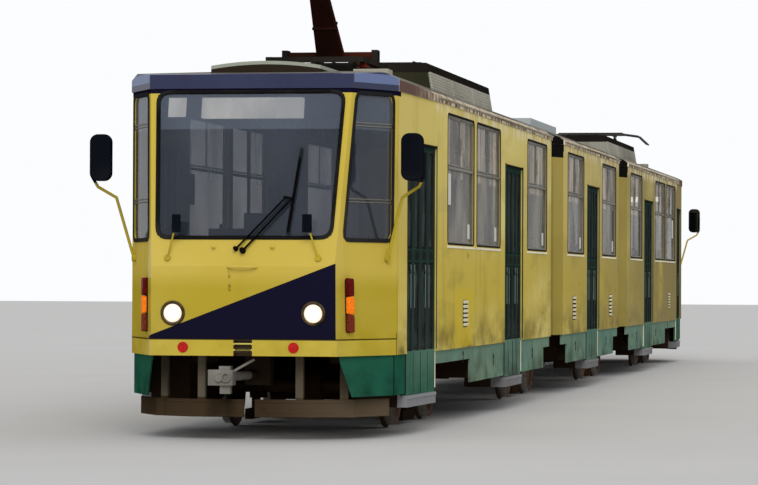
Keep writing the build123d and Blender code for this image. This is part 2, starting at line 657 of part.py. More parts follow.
def cab_fittings():
    """The driver's desk, chair and the partition behind the cab."""
    desk = side_prism([(330, FLOOR_TOP), (330, 1500), (470, 1560), (700, 1530), (700, 1490), (470, 1460),
                       (400, FLOOR_TOP)], -620.0, 620.0)
    chair = side_prism([(790, 1330), (790, 1400), (1100, 1400), (1150, 1900), (1195, 1890), (1160, 1330)],
                       -240.0, 240.0)
    column = barrel(0, 960.0, (FLOOR_TOP, 1340.0), 60.0)
    half = side_x(PARTITION_Y, WALL + RUNNING)
    partition = block((-half, half), (PARTITION_Y, PARTITION_Y + 30.0), (FLOOR_TOP, ROOF_SEAT - RUNNING))
    for x in ((-half + 80.0, -40.0), (40.0, half - 80.0)):
        partition -= block(x, (PARTITION_Y - 1, PARTITION_Y + 31.0), (1650.0, 2750.0))
    return [desk, chair + column, partition]


def lifeguard():
    """Two plates in front of the bogie, sweeping back to the sides, on posts from the floor."""
    inner = offset_chain(LIFEGUARD_PLAN, 12.0)

    def back_of_plate(x):
        return next(y0 + (y1 - y0) * (x - x0) / (x1 - x0) for (x0, y0), (x1, y1) in zip(inner, inner[1:]) if x0 <= x <= x1)

    guard = plan_prism(LIFEGUARD_PLAN + inner[::-1], LIFEGUARD_BOTTOM, LIFEGUARD_BOTTOM + 150.0)
    for x in LIFEGUARD_POSTS:
        left, right = x - 32.0, x + 32.0
        rear = back_of_plate(x) + 50.0
        outline = [(left, back_of_plate(left) - 6.0), (right, back_of_plate(right) - 6.0), (right, rear), (left, rear)]
        guard += plan_prism(outline, LIFEGUARD_BOTTOM + 40.0, FLOOR_UNDERSIDE)
    return both(guard)


def coupler():
    """The folded coupler: drawbar from its pocket under the floor, head turned aside, hand bar."""
    head_y, head_x, head_z = 130.0, -190.0, 500.0
    pocket = block((-110.0, 110.0), (620.0, 760.0), (430.0, FLOOR_UNDERSIDE - FIT))
    bar = rod((0, 700.0, 520.0), (head_x + 40.0, head_y + 60.0, 510.0), 38.0)
    head = block((head_x - 115.0, head_x + 95.0), (head_y - 60.0, head_y + 70.0), (head_z - 60.0, head_z + 70.0))
    head += block((head_x - 25.0, head_x + 70.0), (head_y - 40.0, head_y + 60.0), (head_z - 60.0, head_z + 100.0))
    head += block((head_x - 20.0, head_x + 70.0), (head_y - 30.0, head_y + 40.0), (head_z - 130.0, head_z - 50.0))
    cone = Pos(head_x - 20.0, head_y - 55.0, head_z) * Rot(90, 0, 0) * Cone(48.0, 30.0, 60.0)
    funnel = Pos(head_x + 40.0, head_y - 60.0, head_z + 10.0) * Rot(90, 0, 0) * (Cylinder(42.0, 40.0) - Cylinder(28.0, 60.0))
    handle = rod((head_x + 60.0, head_y, head_z + 40.0), (70.0, head_y + 40.0, SKIRT_LINE - 30.0), 11.0)
    pin_hole = barrel(head_x - 50.0, head_y + 20.0, (head_z - 100.0, head_z + 100.0), COUPLER_PIN_RADIUS)
    return [pocket + bar + head + cone + funnel + handle - pin_hole]


def mirror_arm():
    """A big driver's mirror on a cranked tube from the corner panel, on the +X side."""
    plane = corner_plane(0.82, 1505.0, 2 * FIT)
    foot = plane.origin + plane.z_dir * 15.0
    stops = [tuple(foot), (1240.0, 620.0, 2020.0), (1390.0, 570.0, 2110.0), (1432.0, 545.0, 2190.0), (1432.0, 529.0, 2400.0)]
    arm = extrude(plane * Circle(32.0), 30.0)
    for start, end in zip(stops, stops[1:]):
        arm += rod(start, end, 13.0) + Pos(*end) * Sphere(13.0)
    face = Plane(origin=(1345.0, 520.0, 2357.0), x_dir=(1, 0, 0), z_dir=(0, -1, 0))
    head = extrude(face * RectangleRounded(190.0, 400.0, 70.0), 60.0)
    head = fillet(head.edges().group_by(Axis.Y)[0], 22.0)
    return arm + head


def small_mirror():
    """A small mirror on a stalk below the windscreen's corner, on the +X side."""
    plane = front_plane(640.0, 1500.0, FIT)
    foot = plane.origin + plane.z_dir * 10.0
    middle = (555.0, plane.origin.Y - 60.0, 1790.0)
    stalk = rod(tuple(foot), middle, 7.0)
    head = Pos(*middle) * Rot(0, 0, 20) * Box(80.0, 26.0, 150.0)
    head = fillet(head.edges().filter_by(Axis.Z), 10.0)
    return extrude(plane * Circle(26.0), 18.0) + stalk + head


def end_mirrors():
    """The mirrors of one cab."""
    return both(mirror_arm()) + both(small_mirror())


def wiper():
    """The pantograph wiper: spindle plate, two arms, bridge and blade, lying on the windscreen."""
    def on_glass(x, z, lift):
        return (x, nose_at(z)[1] - lift, z)
    spindle = extrude(front_plane(0.0, 1560.0, FIT) * Circle(24.0), 45.0)
    second = extrude(front_plane(-60.0, 1575.0, FIT) * Circle(18.0), 45.0)
    hub = on_glass(400.0, 2000.0, 32.0)
    arms = rod(on_glass(0.0, 1560.0, 32.0), hub, 9.0) + rod(on_glass(-60.0, 1575.0, 32.0), on_glass(350.0, 2010.0, 32.0), 8.0)
    bridge = rod(on_glass(330.0, 2012.0, 32.0), on_glass(420.0, 1995.0, 32.0), 10.0)
    blade = rod(on_glass(375.0, 1720.0, 22.0), on_glass(450.0, 2340.0, 22.0), 12.0)
    return [spindle + second + arms + bridge + blade]


def panto_pose(fold):
    """Angles of the two arms above the horizontal after folding by so many degrees."""
    return RAISED_LOWER - fold, RAISED_UPPER - fold * HEAD_RATIO


def panto_points(fold):
    """The knee and the head pivot of the pantograph."""
    lower, upper = (math.radians(angle) for angle in panto_pose(fold))
    knee = (PANTO_Y - LOWER_ARM * math.cos(lower), PANTO_Z + LOWER_ARM * math.sin(lower))
    head = (knee[0] + UPPER_ARM * math.cos(upper), knee[1] + UPPER_ARM * math.sin(upper))
    return knee, head


def cross_tube(y, z, half, outer, inner=0.0):
    """A round bar or sleeve lying across the vehicle."""
    bar = Pos(0, y, z) * Rot(0, 90, 0) * Cylinder(outer, 2 * half)
    return bar - Pos(0, y, z) * Rot(0, 90, 0) * Cylinder(inner, 2 * half + 2) if inner else bar


def panto_lower(fold):
    """The lower arm: main shaft, tapered frame and the knee eyes."""
    knee, _ = panto_points(fold)
    shaft = cross_tube(PANTO_Y, PANTO_Z, 420.0, SHAFT_RADIUS)
    lower = math.radians(panto_pose(fold)[0])
    along = Vector(0, -math.cos(lower), math.sin(lower))
    plane = Plane(origin=(0, PANTO_Y, PANTO_Z), x_dir=(1, 0, 0), z_dir=Vector(0, math.sin(lower), math.cos(lower)))
    outline = Polygon((-130, 0), (130, 0), (60, LOWER_ARM - 70.0), (-60, LOWER_ARM - 70.0), align=None)
    sign = 1.0 if plane.y_dir.dot(along) > 0 else -1.0
    frame = extrude(plane * (Rot(0, 0, 0 if sign > 0 else 180) * outline), 35.0, both=True)
    sleeve = cross_tube(knee[0], knee[1], 62.0, 40.0)
    web = rod((0, PANTO_Y + along.Y * (LOWER_ARM - 90.0), PANTO_Z + along.Z * (LOWER_ARM - 90.0)),
              (0, knee[0], knee[1]), 34.0)
    return [shaft + frame + sleeve + web]


def panto_upper(fold):
    """The upper arm: two tubes from the knee that meet in a crossbar below the head."""
    knee, head = panto_points(fold)
    tubes = []
    for side in (-1, 1):
        eye = Pos(side * 92.0, knee[0], knee[1]) * Rot(0, 90, 0) * Cylinder(40.0, 40.0)
        tubes.append(eye + rod((side * 92.0, knee[0], knee[1]), (side * 300.0, head[0], head[1]), 17.0))
    bar = cross_tube(head[0], head[1], 400.0, HEAD_BAR_RADIUS)
    return [tubes[0] + tubes[1] + bar]


def panto_head(fold):
    """The collector head: two strips bent down at their horns, on a frame round the upper bar."""
    _, head = panto_points(fold)
    pieces = None
    for offset in (-170.0, 170.0):
        y, z = head[0] + offset, head[1] + 70.0
        strip = block((-520.0, 520.0), (y - 25.0, y + 25.0), (z, z + 30.0))
        for side in (-1, 1):
            strip += rod((side * 510.0, y, z + 15.0), (side * 760.0, y, z - 20.0), 14.0)
            strip += Pos(side * 760.0, y, z - 20.0) * Sphere(14.0)
            strip += rod((side * 760.0, y, z - 20.0), (side * HEAD_HALF, y, z - 150.0), 14.0)
        pieces = strip if pieces is None else pieces + strip
    for side in (-1, 1):
        x = side * 370.0
        pieces += block((x - 15.0, x + 15.0), (head[0] - 190.0, head[0] + 190.0), (head[1] + 45.0, head[1] + 71.0))
        bracket = block((x - 15.0, x + 15.0), (head[0] - 40.0, head[0] + 40.0), (head[1] - 30.0, head[1] + 50.0))
        pieces += bracket
    bore = cross_tube(head[0], head[1], 500.0, HEAD_BAR_RADIUS + FIT)
    return [pieces - bore]


def insulator(x, y, low, high):
    """A ribbed insulator standing on the roof."""
    count = 4
    body = Pos(x, y, low) * Cylinder(32.0, high - low, align=(Align.CENTER, Align.CENTER, Align.MIN))
    for index in range(count):
        z = low + (index + 0.5) * (high - low) / count
        body += Pos(x, y, z) * Cylinder(55.0, 14.0)
    return body


def roof_gear():
    """Roof fittings of an end section: pantograph base on insulators, resistor box, arched slab, low cover."""
    base = None
    for x in (-430.0, 430.0):
        beam = block((x - 30.0, x + 30.0), (PANTO_Y - 800.0, PANTO_Y + 500.0), (BASE_RAIL, BASE_RAIL + 50.0))
        base = beam if base is None else base + beam
        for y in (PANTO_Y - 650.0, PANTO_Y + 350.0):
            base += insulator(x, y, 3090.0, BASE_RAIL)
        bearing = block((x - 28.0, x + 28.0), (PANTO_Y - 70.0, PANTO_Y + 70.0), (BASE_RAIL, PANTO_Z + 60.0))
        base += bearing
    for y in (PANTO_Y - 760.0, PANTO_Y + 460.0):
        base += block((-430.0, 430.0), (y - 25.0, y + 25.0), (BASE_RAIL, BASE_RAIL + 50.0))
    base -= cross_tube(PANTO_Y, PANTO_Z, 600.0, SHAFT_RADIUS + FIT)
    box = Polygon((-800.0, 3085.0), (800.0, 3085.0), (740.0, 3440.0), (-740.0, 3440.0), align=None)
    resistors = cross_prism(box, 4900.0, 9200.0)
    slab = cross_prism(slab_outline(), 900.0, 2300.0)
    low_cover = block((-450.0, 450.0), (9500.0, 10500.0), (3090.0, 3205.0))
    roof_space = cross_prism(roof_arch(-FIT), 0.0, SECTION_END_Y) - brow_cut(-FIT)
    return [piece - roof_space for piece in (base, resistors, slab, low_cover)]


def slab_outline():
    """The arched lid over the cab roof, in cross-section."""
    with BuildSketch() as sketch:
        with BuildLine():
            ThreePointArc((-480.0, 3160.0), (0, 3200.0), (480.0, 3160.0))
            Line((480.0, 3160.0), (480.0, 3100.0))
            Line((480.0, 3100.0), (-480.0, 3100.0))
            Line((-480.0, 3100.0), (-480.0, 3160.0))
        make_face()
    return sketch.sketch


def middle_gear():
    """Converter box on the middle roof."""
    y = (HALF_LENGTH - 1300.0, HALF_LENGTH + 1300.0)
    return [block((-600.0, 600.0), y, (3090.0, 3340.0)) - cross_prism(roof_arch(-FIT), y[0] - 10, y[1] + 10)]


def bellows():
    """The bellows ring round the gangway between two sections."""
    half, low, high = 1090.0, FLOOR_TOP + RUNNING, ROOF_SEAT - 40.0
    y = (SECTION_END_Y + FIT, JOINT_Y + PORTAL_GAP / 2 - FIT)
    ring = block((-half, half), y, (low, high))
    return [ring - block((-half + 60.0, half - 60.0), (y[0] - 1, y[1] + 1), (low - 1, high - 60.0))]


def door_leaf(span, gap):
    """One door leaf on the +X side with two glazed openings, and its two panes."""
    start, end = span
    low, high = STEP_TOP + gap / 2, DOOR_TOP - gap / 2
    leaf = side_strip(span, (LEAF_RECESS, LEAF_RECESS + LEAF_THICKNESS), (low, high))
    pane_inset = (LEAF_RECESS + 12.0, LEAF_RECESS + 12.0 + GLASS)
    panes = []
    for bottom, top in ((low + LEAF_FOOT, 1480.0), (1600.0, high - LEAF_BORDER)):
        leaf -= block((CORNER_HALF_WIDTH - WALL, HALF_WIDTH), (start + LEAF_BORDER, end - LEAF_BORDER), (bottom, top))
        panes.append(side_strip((start + LEAF_BORDER + FIT, end - LEAF_BORDER - FIT), pane_inset,
                                (bottom + FIT, top - FIT)))
    return leaf, panes


def leaf_spans(door_y, gap):
    """Start and end of each of the four leaves of a doorway, with that gap between them."""
    pitch = DOOR_WIDTH / 4
    return [(door_y + index * pitch + gap / 2, door_y + (index + 1) * pitch - gap / 2) for index in range(4)]


def shut_doorway(door_y):
    """The four leaves of a doorway that stays shut, and their panes, on the +X side."""
    leaves, panes = [], []
    for span in leaf_spans(door_y, FIT):
        leaf, glass = door_leaf(span, FIT)
        leaves.append(leaf)
        panes += glass
    return leaves, panes


def shut_doors(doors_right, doors_left):
    """Leaves and panes of all the doorways of a section that stay shut, on the +X and on the -X side."""
    leaves, panes = [], []
    for door_y in sorted(set(doors_right + doors_left)):
        side_leaves, side_panes_ = shut_doorway(door_y)
        for shapes, found in ((side_leaves, leaves), (side_panes_, panes)):
            if door_y in doors_right:
                found += shapes
            if door_y in doors_left:
                found += [mirror(shape, Plane.YZ) for shape in shapes]
    return leaves, panes


def working_leaf(index):
    """One of the four folding leaves of the second doorway, with its pivot post or hinge barrels.

    The outer two turn on posts that stand on the sill beside the jambs, at the inner face. The inner two
    hang on them by barrels just outside the outer face, so each pair folds inwards, outer faces together.
    """
    face = HALF_WIDTH - LEAF_RECESS
    leaf, panes = door_leaf(leaf_spans(DOOR_2_Y, LEAF_GAP)[index], LEAF_GAP)
    outer_leaf = index in (0, 3)
    front_pair = index < 2
    if outer_leaf:
        jamb = DOOR_2_Y + LEAF_GAP / 2 if front_pair else DOOR_2_Y + DOOR_WIDTH - LEAF_GAP / 2
        leaf += barrel(face - LEAF_THICKNESS, jamb, (STEP_TOP + FIT, DOOR_TOP - FIT), POST_RADIUS)
    fold = DOOR_2_Y + DOOR_WIDTH * (1 if front_pair else 3) / 4
    towards_leaf = 1 if index in (1, 3) else -1
    for height in BARREL_HEIGHTS:
        low = height if outer_leaf else height + BARREL_LENGTH + FIT
        z = (low, low + BARREL_LENGTH)
        web = sorted((fold, fold + towards_leaf * (LEAF_GAP / 2 + 3.0)))
        leaf += barrel(face + BARREL_REACH, fold, z, BARREL_RADIUS) + block((face - 5.0, face), web, z)
    return [leaf] + panes


def wheelset():
    """A rail axle with its two flanged wheels, along X through the origin."""
    tread_inner = GAUGE / 2 - 30.0
    flange_y = WHEEL_RADIUS + FLANGE_DEPTH
    outer = GAUGE / 2 + 72.0
    with BuildSketch() as half:
        with BuildLine():
            Polyline((0, 0), (0, AXLE_RADIUS), (tread_inner - 60.0, AXLE_RADIUS), (tread_inner - 60.0, 95.0),
                     (tread_inner + 20.0, 95.0), (tread_inner + 20.0, 255.0), (tread_inner, 290.0),
                     (tread_inner, flange_y - 8.0))
            ThreePointArc((tread_inner, flange_y - 8.0), (tread_inner + 12.0, flange_y),
                          (tread_inner + 24.0, flange_y - 8.0))
            Polyline((tread_inner + 24.0, flange_y - 8.0), (tread_inner + 34.0, WHEEL_RADIUS),
                     (outer, WHEEL_RADIUS - 4.0), (outer, 290.0), (outer - 28.0, 255.0), (outer - 28.0, 110.0),
                     (outer, 90.0), (outer, 0), (0, 0))
        make_face()
    profile = revolve(half.sketch, Axis.X)
    return profile + mirror(profile, Plane.YZ)


def bogie_frame():
    """A bogie with its frame inside the wheels: side beams, bolster, gear cases, track brakes and pivot."""
    axle = WHEEL_RADIUS
    beam_x = (420.0, 560.0)
    near, far = WHEELBASE / 2 - 150.0, WHEELBASE / 2 + 170.0
    profile = [(-far, axle + 70.0), (-near, axle + 70.0), (-450.0, axle - 60.0), (450.0, axle - 60.0),
               (near, axle + 70.0), (far, axle + 70.0), (far, axle + 190.0), (-far, axle + 190.0)]
    frame = None
    for beam in both(side_prism(profile, *beam_x)):
        frame = beam if frame is None else frame + beam
    frame += block((-560.0, 560.0), (-220.0, 220.0), (axle + 40.0, axle + 330.0))
    frame += barrel(0, 0, (axle + 330.0, FLOOR_UNDERSIDE - FIT), 260.0)
    frame += barrel(0, 0, (axle + 330.0, FLOOR_UNDERSIDE + PIVOT_HEIGHT), PIVOT_RADIUS)
    for y in (-WHEELBASE / 2, WHEELBASE / 2):
        for box in both(block((430.0, 550.0), (y - 110.0, y + 110.0), (axle - 110.0, axle + 75.0))):
            frame += box
        motor_y = y - math.copysign(430.0, y)
        frame += cross_tube(motor_y, axle + 40.0, 440.0, 180.0)
        frame += cross_tube(y, axle, 110.0, 150.0)
        frame += block((-110.0, 110.0), (min(y, motor_y), max(y, motor_y)), (axle - 100.0, axle + 120.0))
    for y in (-WHEELBASE / 2, WHEELBASE / 2):
        frame -= cross_tube(y, axle, 1000.0, AXLE_RADIUS + FIT)
    for side in (-1, 1):
        x = side * GAUGE / 2
        frame += block((x - 35.0, x + 35.0), (-330.0, 330.0), (12.0, 110.0))
        frame += block((x - 30.0, x + 30.0), (-60.0, 60.0), (100.0, axle + 60.0))
        frame += block((min(x, side * 540.0), max(x, side * 540.0)), (-60.0, 60.0), (axle - 10.0, axle + 60.0))
    return [frame]


def save(name, shapes, place):
    """Write the solids of one piece in their place."""
    solids = []
    for shape in shapes:
        solids += (place * shape).solids()
    result = solids[0] if len(solids) == 1 else Compound(children=solids)
    export_step(result, os.path.join("parts", name + ".step"))
    print(f"{name}: {len(solids)} solids")


def main():
    """Build every piece and write it."""
    os.makedirs("parts", exist_ok=True)
    end_length = SECTION_END_Y + 12.0
    body, floor, roof = end_body(), end_floor(), roof_shell(end_plan(ROOF_SEAT), end_length, brow=True)
    skirts, panes = end_skirts(), side_panes(END_WINDOWS) + cab_panes()
    seats, cab = saloon(END_SEATS, END_POLES), cab_fittings()
    lamps, mirrors, blades = end_lamps(), end_mirrors(), wiper()
    guards, hook, gear, ring = lifeguard(), coupler(), roof_gear(), bellows()
    for section, place in (("front", front), ("rear", rear)):
        save(section + "_body", [body], place)
        save(section + "_roof", [roof], place)
        save(section + "_floor", floor, place)
        save(section + "_skirts", skirts, place)
        shut_leaves, door_panes = shut_doors([DOOR_1_Y] if section == "front" else END_DOORS, END_DOORS)
        save(section + "_doors", shut_leaves, place)
        save(section + "_windows", panes + door_panes, place)
        save(section + "_saloon", seats, place)
        save(section + "_cab", cab, place)
        save(section + "_lamps", lamps, place)
        save(section + "_mirrors", mirrors, place)
        save(section + "_wiper", blades, place)
        save(section + "_lifeguard", guards, place)
        save(section + "_coupler", hook, place)
        save(section + "_roof_gear", gear, place)
        save(section + "_bellows", ring, place)
        fold = 0.0 if section == "front" else FOLD
        save(section + "_pantograph_lower_arm", panto_lower(fold), place)
        save(section + "_pantograph_upper_arm", panto_upper(fold), place)
        save(section + "_pantograph_head", panto_head(fold), place)
    save("middle_body", [middle_body()], front)
    save("middle_roof", [roof_shell(middle_plan(), BODY_LENGTH)], front)
    save("middle_floor", middle_floor(), front)
    save("middle_skirts", middle_skirts(), front)
    shut_leaves, door_panes = shut_doors(MIDDLE_DOORS, MIDDLE_DOORS)
    save("middle_doors", shut_leaves, front)
    save("middle_windows", side_panes(MIDDLE_WINDOWS) + door_panes, front)
    save("middle_saloon", saloon(MIDDLE_SEATS, MIDDLE_POLES), front)
    save("middle_roof_gear", middle_gear(), front)
    for index in range(4):
        save(f"front_door_leaf_{index + 1}", working_leaf(index), front)
    frame, wheels = bogie_frame(), wheelset()
    for number in range(4):
        bogie_y = END_BOGIE_Y + number * BOGIE_SPACING
        save(f"bogie_{number + 1}_frame", frame, front * Pos(0, bogie_y, 0))
        for axle, offset in enumerate((-WHEELBASE / 2, WHEELBASE / 2)):
            save(f"bogie_{number + 1}_wheelset_{axle + 1}", [wheels], front * Pos(0, bogie_y + offset, WHEEL_RADIUS))


main()
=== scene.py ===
"""Looks of a three-section articulated tram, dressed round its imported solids."""
import math

import bmesh
import bpy
import numpy as np
from mathutils import Matrix


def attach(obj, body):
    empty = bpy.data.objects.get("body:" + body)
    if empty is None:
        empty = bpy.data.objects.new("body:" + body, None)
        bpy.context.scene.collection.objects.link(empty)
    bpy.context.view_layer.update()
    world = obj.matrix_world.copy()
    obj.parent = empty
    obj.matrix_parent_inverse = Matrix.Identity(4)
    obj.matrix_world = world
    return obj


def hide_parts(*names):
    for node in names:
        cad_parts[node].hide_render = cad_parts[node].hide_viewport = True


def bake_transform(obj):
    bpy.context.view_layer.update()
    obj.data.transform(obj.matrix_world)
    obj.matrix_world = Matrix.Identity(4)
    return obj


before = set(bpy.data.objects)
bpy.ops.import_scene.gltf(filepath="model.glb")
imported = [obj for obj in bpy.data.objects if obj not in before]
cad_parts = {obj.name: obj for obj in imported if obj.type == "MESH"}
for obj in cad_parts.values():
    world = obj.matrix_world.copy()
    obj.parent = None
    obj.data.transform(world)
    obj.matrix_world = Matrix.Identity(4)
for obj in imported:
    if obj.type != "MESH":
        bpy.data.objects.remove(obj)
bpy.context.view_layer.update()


def placed(name, data):
    """A new object in the scene."""
    made = bpy.data.objects.new(name, data)
    bpy.context.scene.collection.objects.link(made)
    return made


# Camera: a long lens from across the street, low down and well ahead of the first cab.
# Place, heading and focal length come from the tram's own straight lines in the photograph.
focal_pixels, image_width, sensor_width = 3311.2, 758, 36.0
heading, rise, roll = 0.1753, 0.0113, 0.0041
eye = np.array([5.9106, -42.0196, 1.3496])
forward = np.array([-math.sin(heading) * math.cos(rise), math.cos(heading) * math.cos(rise), math.sin(rise)])
level = np.array([math.cos(heading), math.sin(heading), 0.0])
upright = np.cross(level, forward)
camera_x = level * math.cos(roll) + upright * math.sin(roll)
camera_y = upright * math.cos(roll) - level * math.sin(roll)
camera_data = bpy.data.cameras.new("street_camera")
camera_data.sensor_width = sensor_width
camera_data.lens = focal_pixels * sensor_width / image_width
camera_data.clip_end = 400.0
camera = placed("street_camera", camera_data)
turn = np.eye(4)
turn[:3, 0], turn[:3, 1], turn[:3, 2], turn[:3, 3] = camera_x, camera_y, -forward, eye
camera.matrix_world = Matrix(turn.tolist())
bpy.context.scene.camera = camera


# Body shells: welded steel sheet under yellow enamel, with a dark blue wedge on each nose.
# The enamel is sun-faded and streaked below the windows, and the inside is lined in cream laminate.
def linear(red, green, blue):
    """A screen colour in percent as linear light: up to 0.04045 over 12.92, above it by the 2.4 power."""
    parts = (part / 100 for part in (red, green, blue))
    return tuple(c / 12.92 if c <= 0.04045 else ((c + 0.055) / 1.055) ** 2.4 for c in parts) + (1.0,)


class Value:
    """A shader value: arithmetic on it adds Math nodes to its finish."""

    def __init__(self, finish, socket):
        self.finish, self.socket = finish, socket

    def math(self, operation, *others):
        return self.finish.node("ShaderNodeMath", {"operation": operation}, self, *others)

    def __add__(self, other):
        return self.math("ADD", other)

    def __sub__(self, other):
        return self.math("SUBTRACT", other)

    def __rsub__(self, other):
        return self.finish.node("ShaderNodeMath", {"operation": "SUBTRACT"}, other, self)

    def __mul__(self, other):
        return self.math("MULTIPLY", other)

    def __gt__(self, other):
        return self.math("GREATER_THAN", other)

    def __lt__(self, other):
        return self.math("LESS_THAN", other)

    def __abs__(self):
        return self.math("ABSOLUTE")

    __radd__, __rmul__ = __add__, __mul__

    def under(self, share, colour):
        """This colour under another one that covers a share of it."""
        return self.finish.mix(share, self, colour)

    def between(self, low, high):
        """1 where the value lies between the two limits, else 0."""
        return (self > low) * (self < high)

    def ramp(self, low, high):
        """A smooth step from 0 at the low value to 1 at the high value."""
        settings = {"interpolation_type": "SMOOTHSTEP", "clamp": True}
        return self.finish.node("ShaderNodeMapRange", settings, self, low, high, 0, 1.0)


class Nodes:
    """A node tree that nodes are added to."""

    def __init__(self, tree):
        self.tree = tree

    def node(self, kind, settings, *values, output=0):
        """Adds a node: settings first, then its sockets in order; None leaves a socket alone."""
        made = self.tree.nodes.new(kind)
        for key, value in settings.items():
            setattr(made, key, value)
        for socket, value in zip(made.inputs, values):
            self.join(socket, value)
        return Value(self, made.outputs[output])

    def join(self, socket, value):
        """Links or sets a socket; three numbers on a colour socket are a screen colour in percent."""
        if isinstance(value, Value):
            self.tree.links.new(value.socket, socket)
        elif value is not None:
            on_screen = socket.type == "RGBA" and len(value) == 3
            socket.default_value = linear(*value) if on_screen else value


class Finish(Nodes):
    """A material whose shader maths reads the place on the vehicle, in metres."""

    def __init__(self, name, **constants):
        self.material = bpy.data.materials.new(name)
        self.material.use_nodes = True
        super().__init__(self.material.node_tree)
        self.shader = next(n for n in self.tree.nodes if n.type == "BSDF_PRINCIPLED")
        self.feed(**{"Specular_IOR_Level": 0, "Roughness": 0.6, **constants})

    def feed(self, **sockets):
        """Sets or links the shader's sockets; an underscore stands for a space."""
        for key, value in sockets.items():
            self.join(self.shader.inputs[key.replace("_", " ")], value)
        return self

    def parts(self, kind, output):
        """The three parts of the vector that a node gives."""
        split = self.node("ShaderNodeSeparateXYZ", {}, self.node(kind, {}, output=output))
        return [Value(self, part) for part in split.socket.node.outputs]

    def place(self):
        """Across, along and up on the piece."""
        return self.parts("ShaderNodeTexCoord", 3)

    def normal(self):
        """Across, along and up of the sheet's outward normal."""
        return self.parts("ShaderNodeNewGeometry", 1)

    def noise(self, scale, detail=3.0, stretch=(1.0, 1.0, 1.0)):
        """Cloudy noise from 0 to 1, stretched along the axes."""
        point = self.node("ShaderNodeTexCoord", {}, output=3)
        mapped = self.node("ShaderNodeMapping", {}, point, None, None, stretch)
        return self.node("ShaderNodeTexNoise", {}, mapped, None, scale, detail)

    def mix(self, share, first, second):
        """A colour part of the way from the first to the second."""
        made = self.tree.nodes.new("ShaderNodeMix")
        made.data_type = "RGBA"
        for index, value in ((0, share), (6, first), (7, second)):
            self.join(made.inputs[index], value)
        return Value(self, made.outputs[2])

    def bump(self, height, depth):
        """Small relief from a height value, its depth in metres."""
        relief = self.tree.nodes.new("ShaderNodeBump")
        for key, value in (("Strength", 0.6), ("Distance", depth), ("Height", height)):
            self.join(relief.inputs[key], value)
        return self.feed(Normal=Value(self, relief.outputs[0]))

    def wear(self, colour, faded, grime, streaks=0.3, foot=None):
        """Weathered paint: cloudy fading, rain streaks down the sheet, road dirt above the foot height."""
        shade = self.mix(self.noise(0.9, 4.0, (1.0, 0.3, 1.0)).ramp(0.42, 0.72), colour, faded)
        runs = self.noise(5.0, 4.0, (1.0, 0.6, 0.07)).ramp(0.52, 0.74) * self.noise(1.1, 2.0).ramp(0.35, 0.65)
        shade = shade.under(runs * streaks, grime)
        specks = self.noise(60.0, 2.0).ramp(0.66, 0.74) * 0.25
        shade = shade.under(specks, grime)
        if foot is not None:
            dirt = self.noise(6.0, 4.0, (1.0, 0.4, 0.8)).ramp(0.3, 0.75)
            splash = (1.0 - self.place()[2].ramp(foot, foot + 0.45)) * dirt
            shade = shade.under(splash * 0.7, grime)
        return shade


def painted(name, *coat, **constants):
    """A finish of one weathered colour."""
    finish = Finish(name, **constants)
    return finish.feed(Base_Color=finish.wear(*coat))


def mottled(name, first, second, scale, low, high, **constants):
    """A finish that is cloudy between two colours."""
    finish = Finish(name, **constants)
    return finish.feed(Base_Color=finish.mix(finish.noise(scale).ramp(low, high), first, second))


YELLOW, YELLOW_FADED = (82, 73, 33), (92, 85, 52)
NAVY, GRIME, SHADOW = (8.5, 7.5, 16), (22, 17, 10), (9, 8, 8)
nose_length, joint_y, door_1_y, door_2_y, door_width = 15.15, 11.4, 1.3, 7.01, 1.26
rail_drop = 0.025

enamel = Finish("section_enamel", Coat_Roughness=0.15)
x, y, z = enamel.place()
across = x * y.math("SIGN") * -1.0
from_nose = nose_length - abs(y)
on_nose, on_flank, behind_cab = from_nose < 0.12, abs(x) > 1.1, from_nose > 2.6
at_joint = abs(from_nose - joint_y) < 0.6
bumper_top = 0.85
coat = enamel.wear(YELLOW, YELLOW_FADED, GRIME, 0.3, 0.7)
patches = enamel.noise(3.2, 4.0, (1.0, 0.25, 1.0)).ramp(0.52, 0.66) * behind_cab
coat = coat.under(patches * 0.4, (64, 58, 28))
rusty = enamel.noise(9.0, 4.0, (1.0, 0.25, 0.6)).ramp(0.66, 0.72) * (z < 1.62) * behind_cab
coat = coat.under(rusty * 0.6, (48, 32, 12))
repaint = from_nose.between(3.55, 4.75) * z.between(0.73, 1.27)
coat = coat.under(repaint * 0.55, (84, 74, 22))
coat = coat.under(z.ramp(1.2, 2.4) * on_flank * 0.35, (93, 88, 62))
# The side is painted darker and greyer towards the rear end of the tram, broken up by cloudy noise: painted
# shade.
rearward_painted_shade = y.ramp(-12.0, 13.0) * on_flank * enamel.noise(0.7, 3.0).ramp(0.1, 0.5)
coat = coat.under(rearward_painted_shade * 0.9, (55, 50, 36))
# The nose's yellow is painted lighter above the crease, where the raked panel faces the sky: painted light.
# The bumper has its own yellow.
nose_paint_lit_above_crease = enamel.mix(z.ramp(1.25, 1.45), (71, 62, 13), (81, 71, 29))
nose_paint_lit_above_crease = nose_paint_lit_above_crease.under(z < bumper_top, (76, 67, 20))
coat = coat.under((from_nose < 0.9) * 0.8, nose_paint_lit_above_crease)
# The chamfered body ends at each joint are painted a darker yellow: painted shade.
joint_chamfer_shade = at_joint * (abs(x) < 1.236) * (abs(x) > 1.06)
coat = coat.under(joint_chamfer_shade * 0.7, (60, 53, 25))
top_drips = enamel.noise(7.0, 3.0, (1.0, 1.0, 0.12)).ramp(0.35, 0.65) * z.ramp(2.8, 2.93)
top_drips = top_drips * (from_nose > 2.55) * (abs(x) > 1.22)
coat = coat.under(top_drips * 0.8, (95, 90, 76))
# The top of each joint gap and chamfer is painted near black: painted shade.
coat = coat.under(joint_chamfer_shade * (z > 2.8) + at_joint * (z > 2.87), SHADOW)
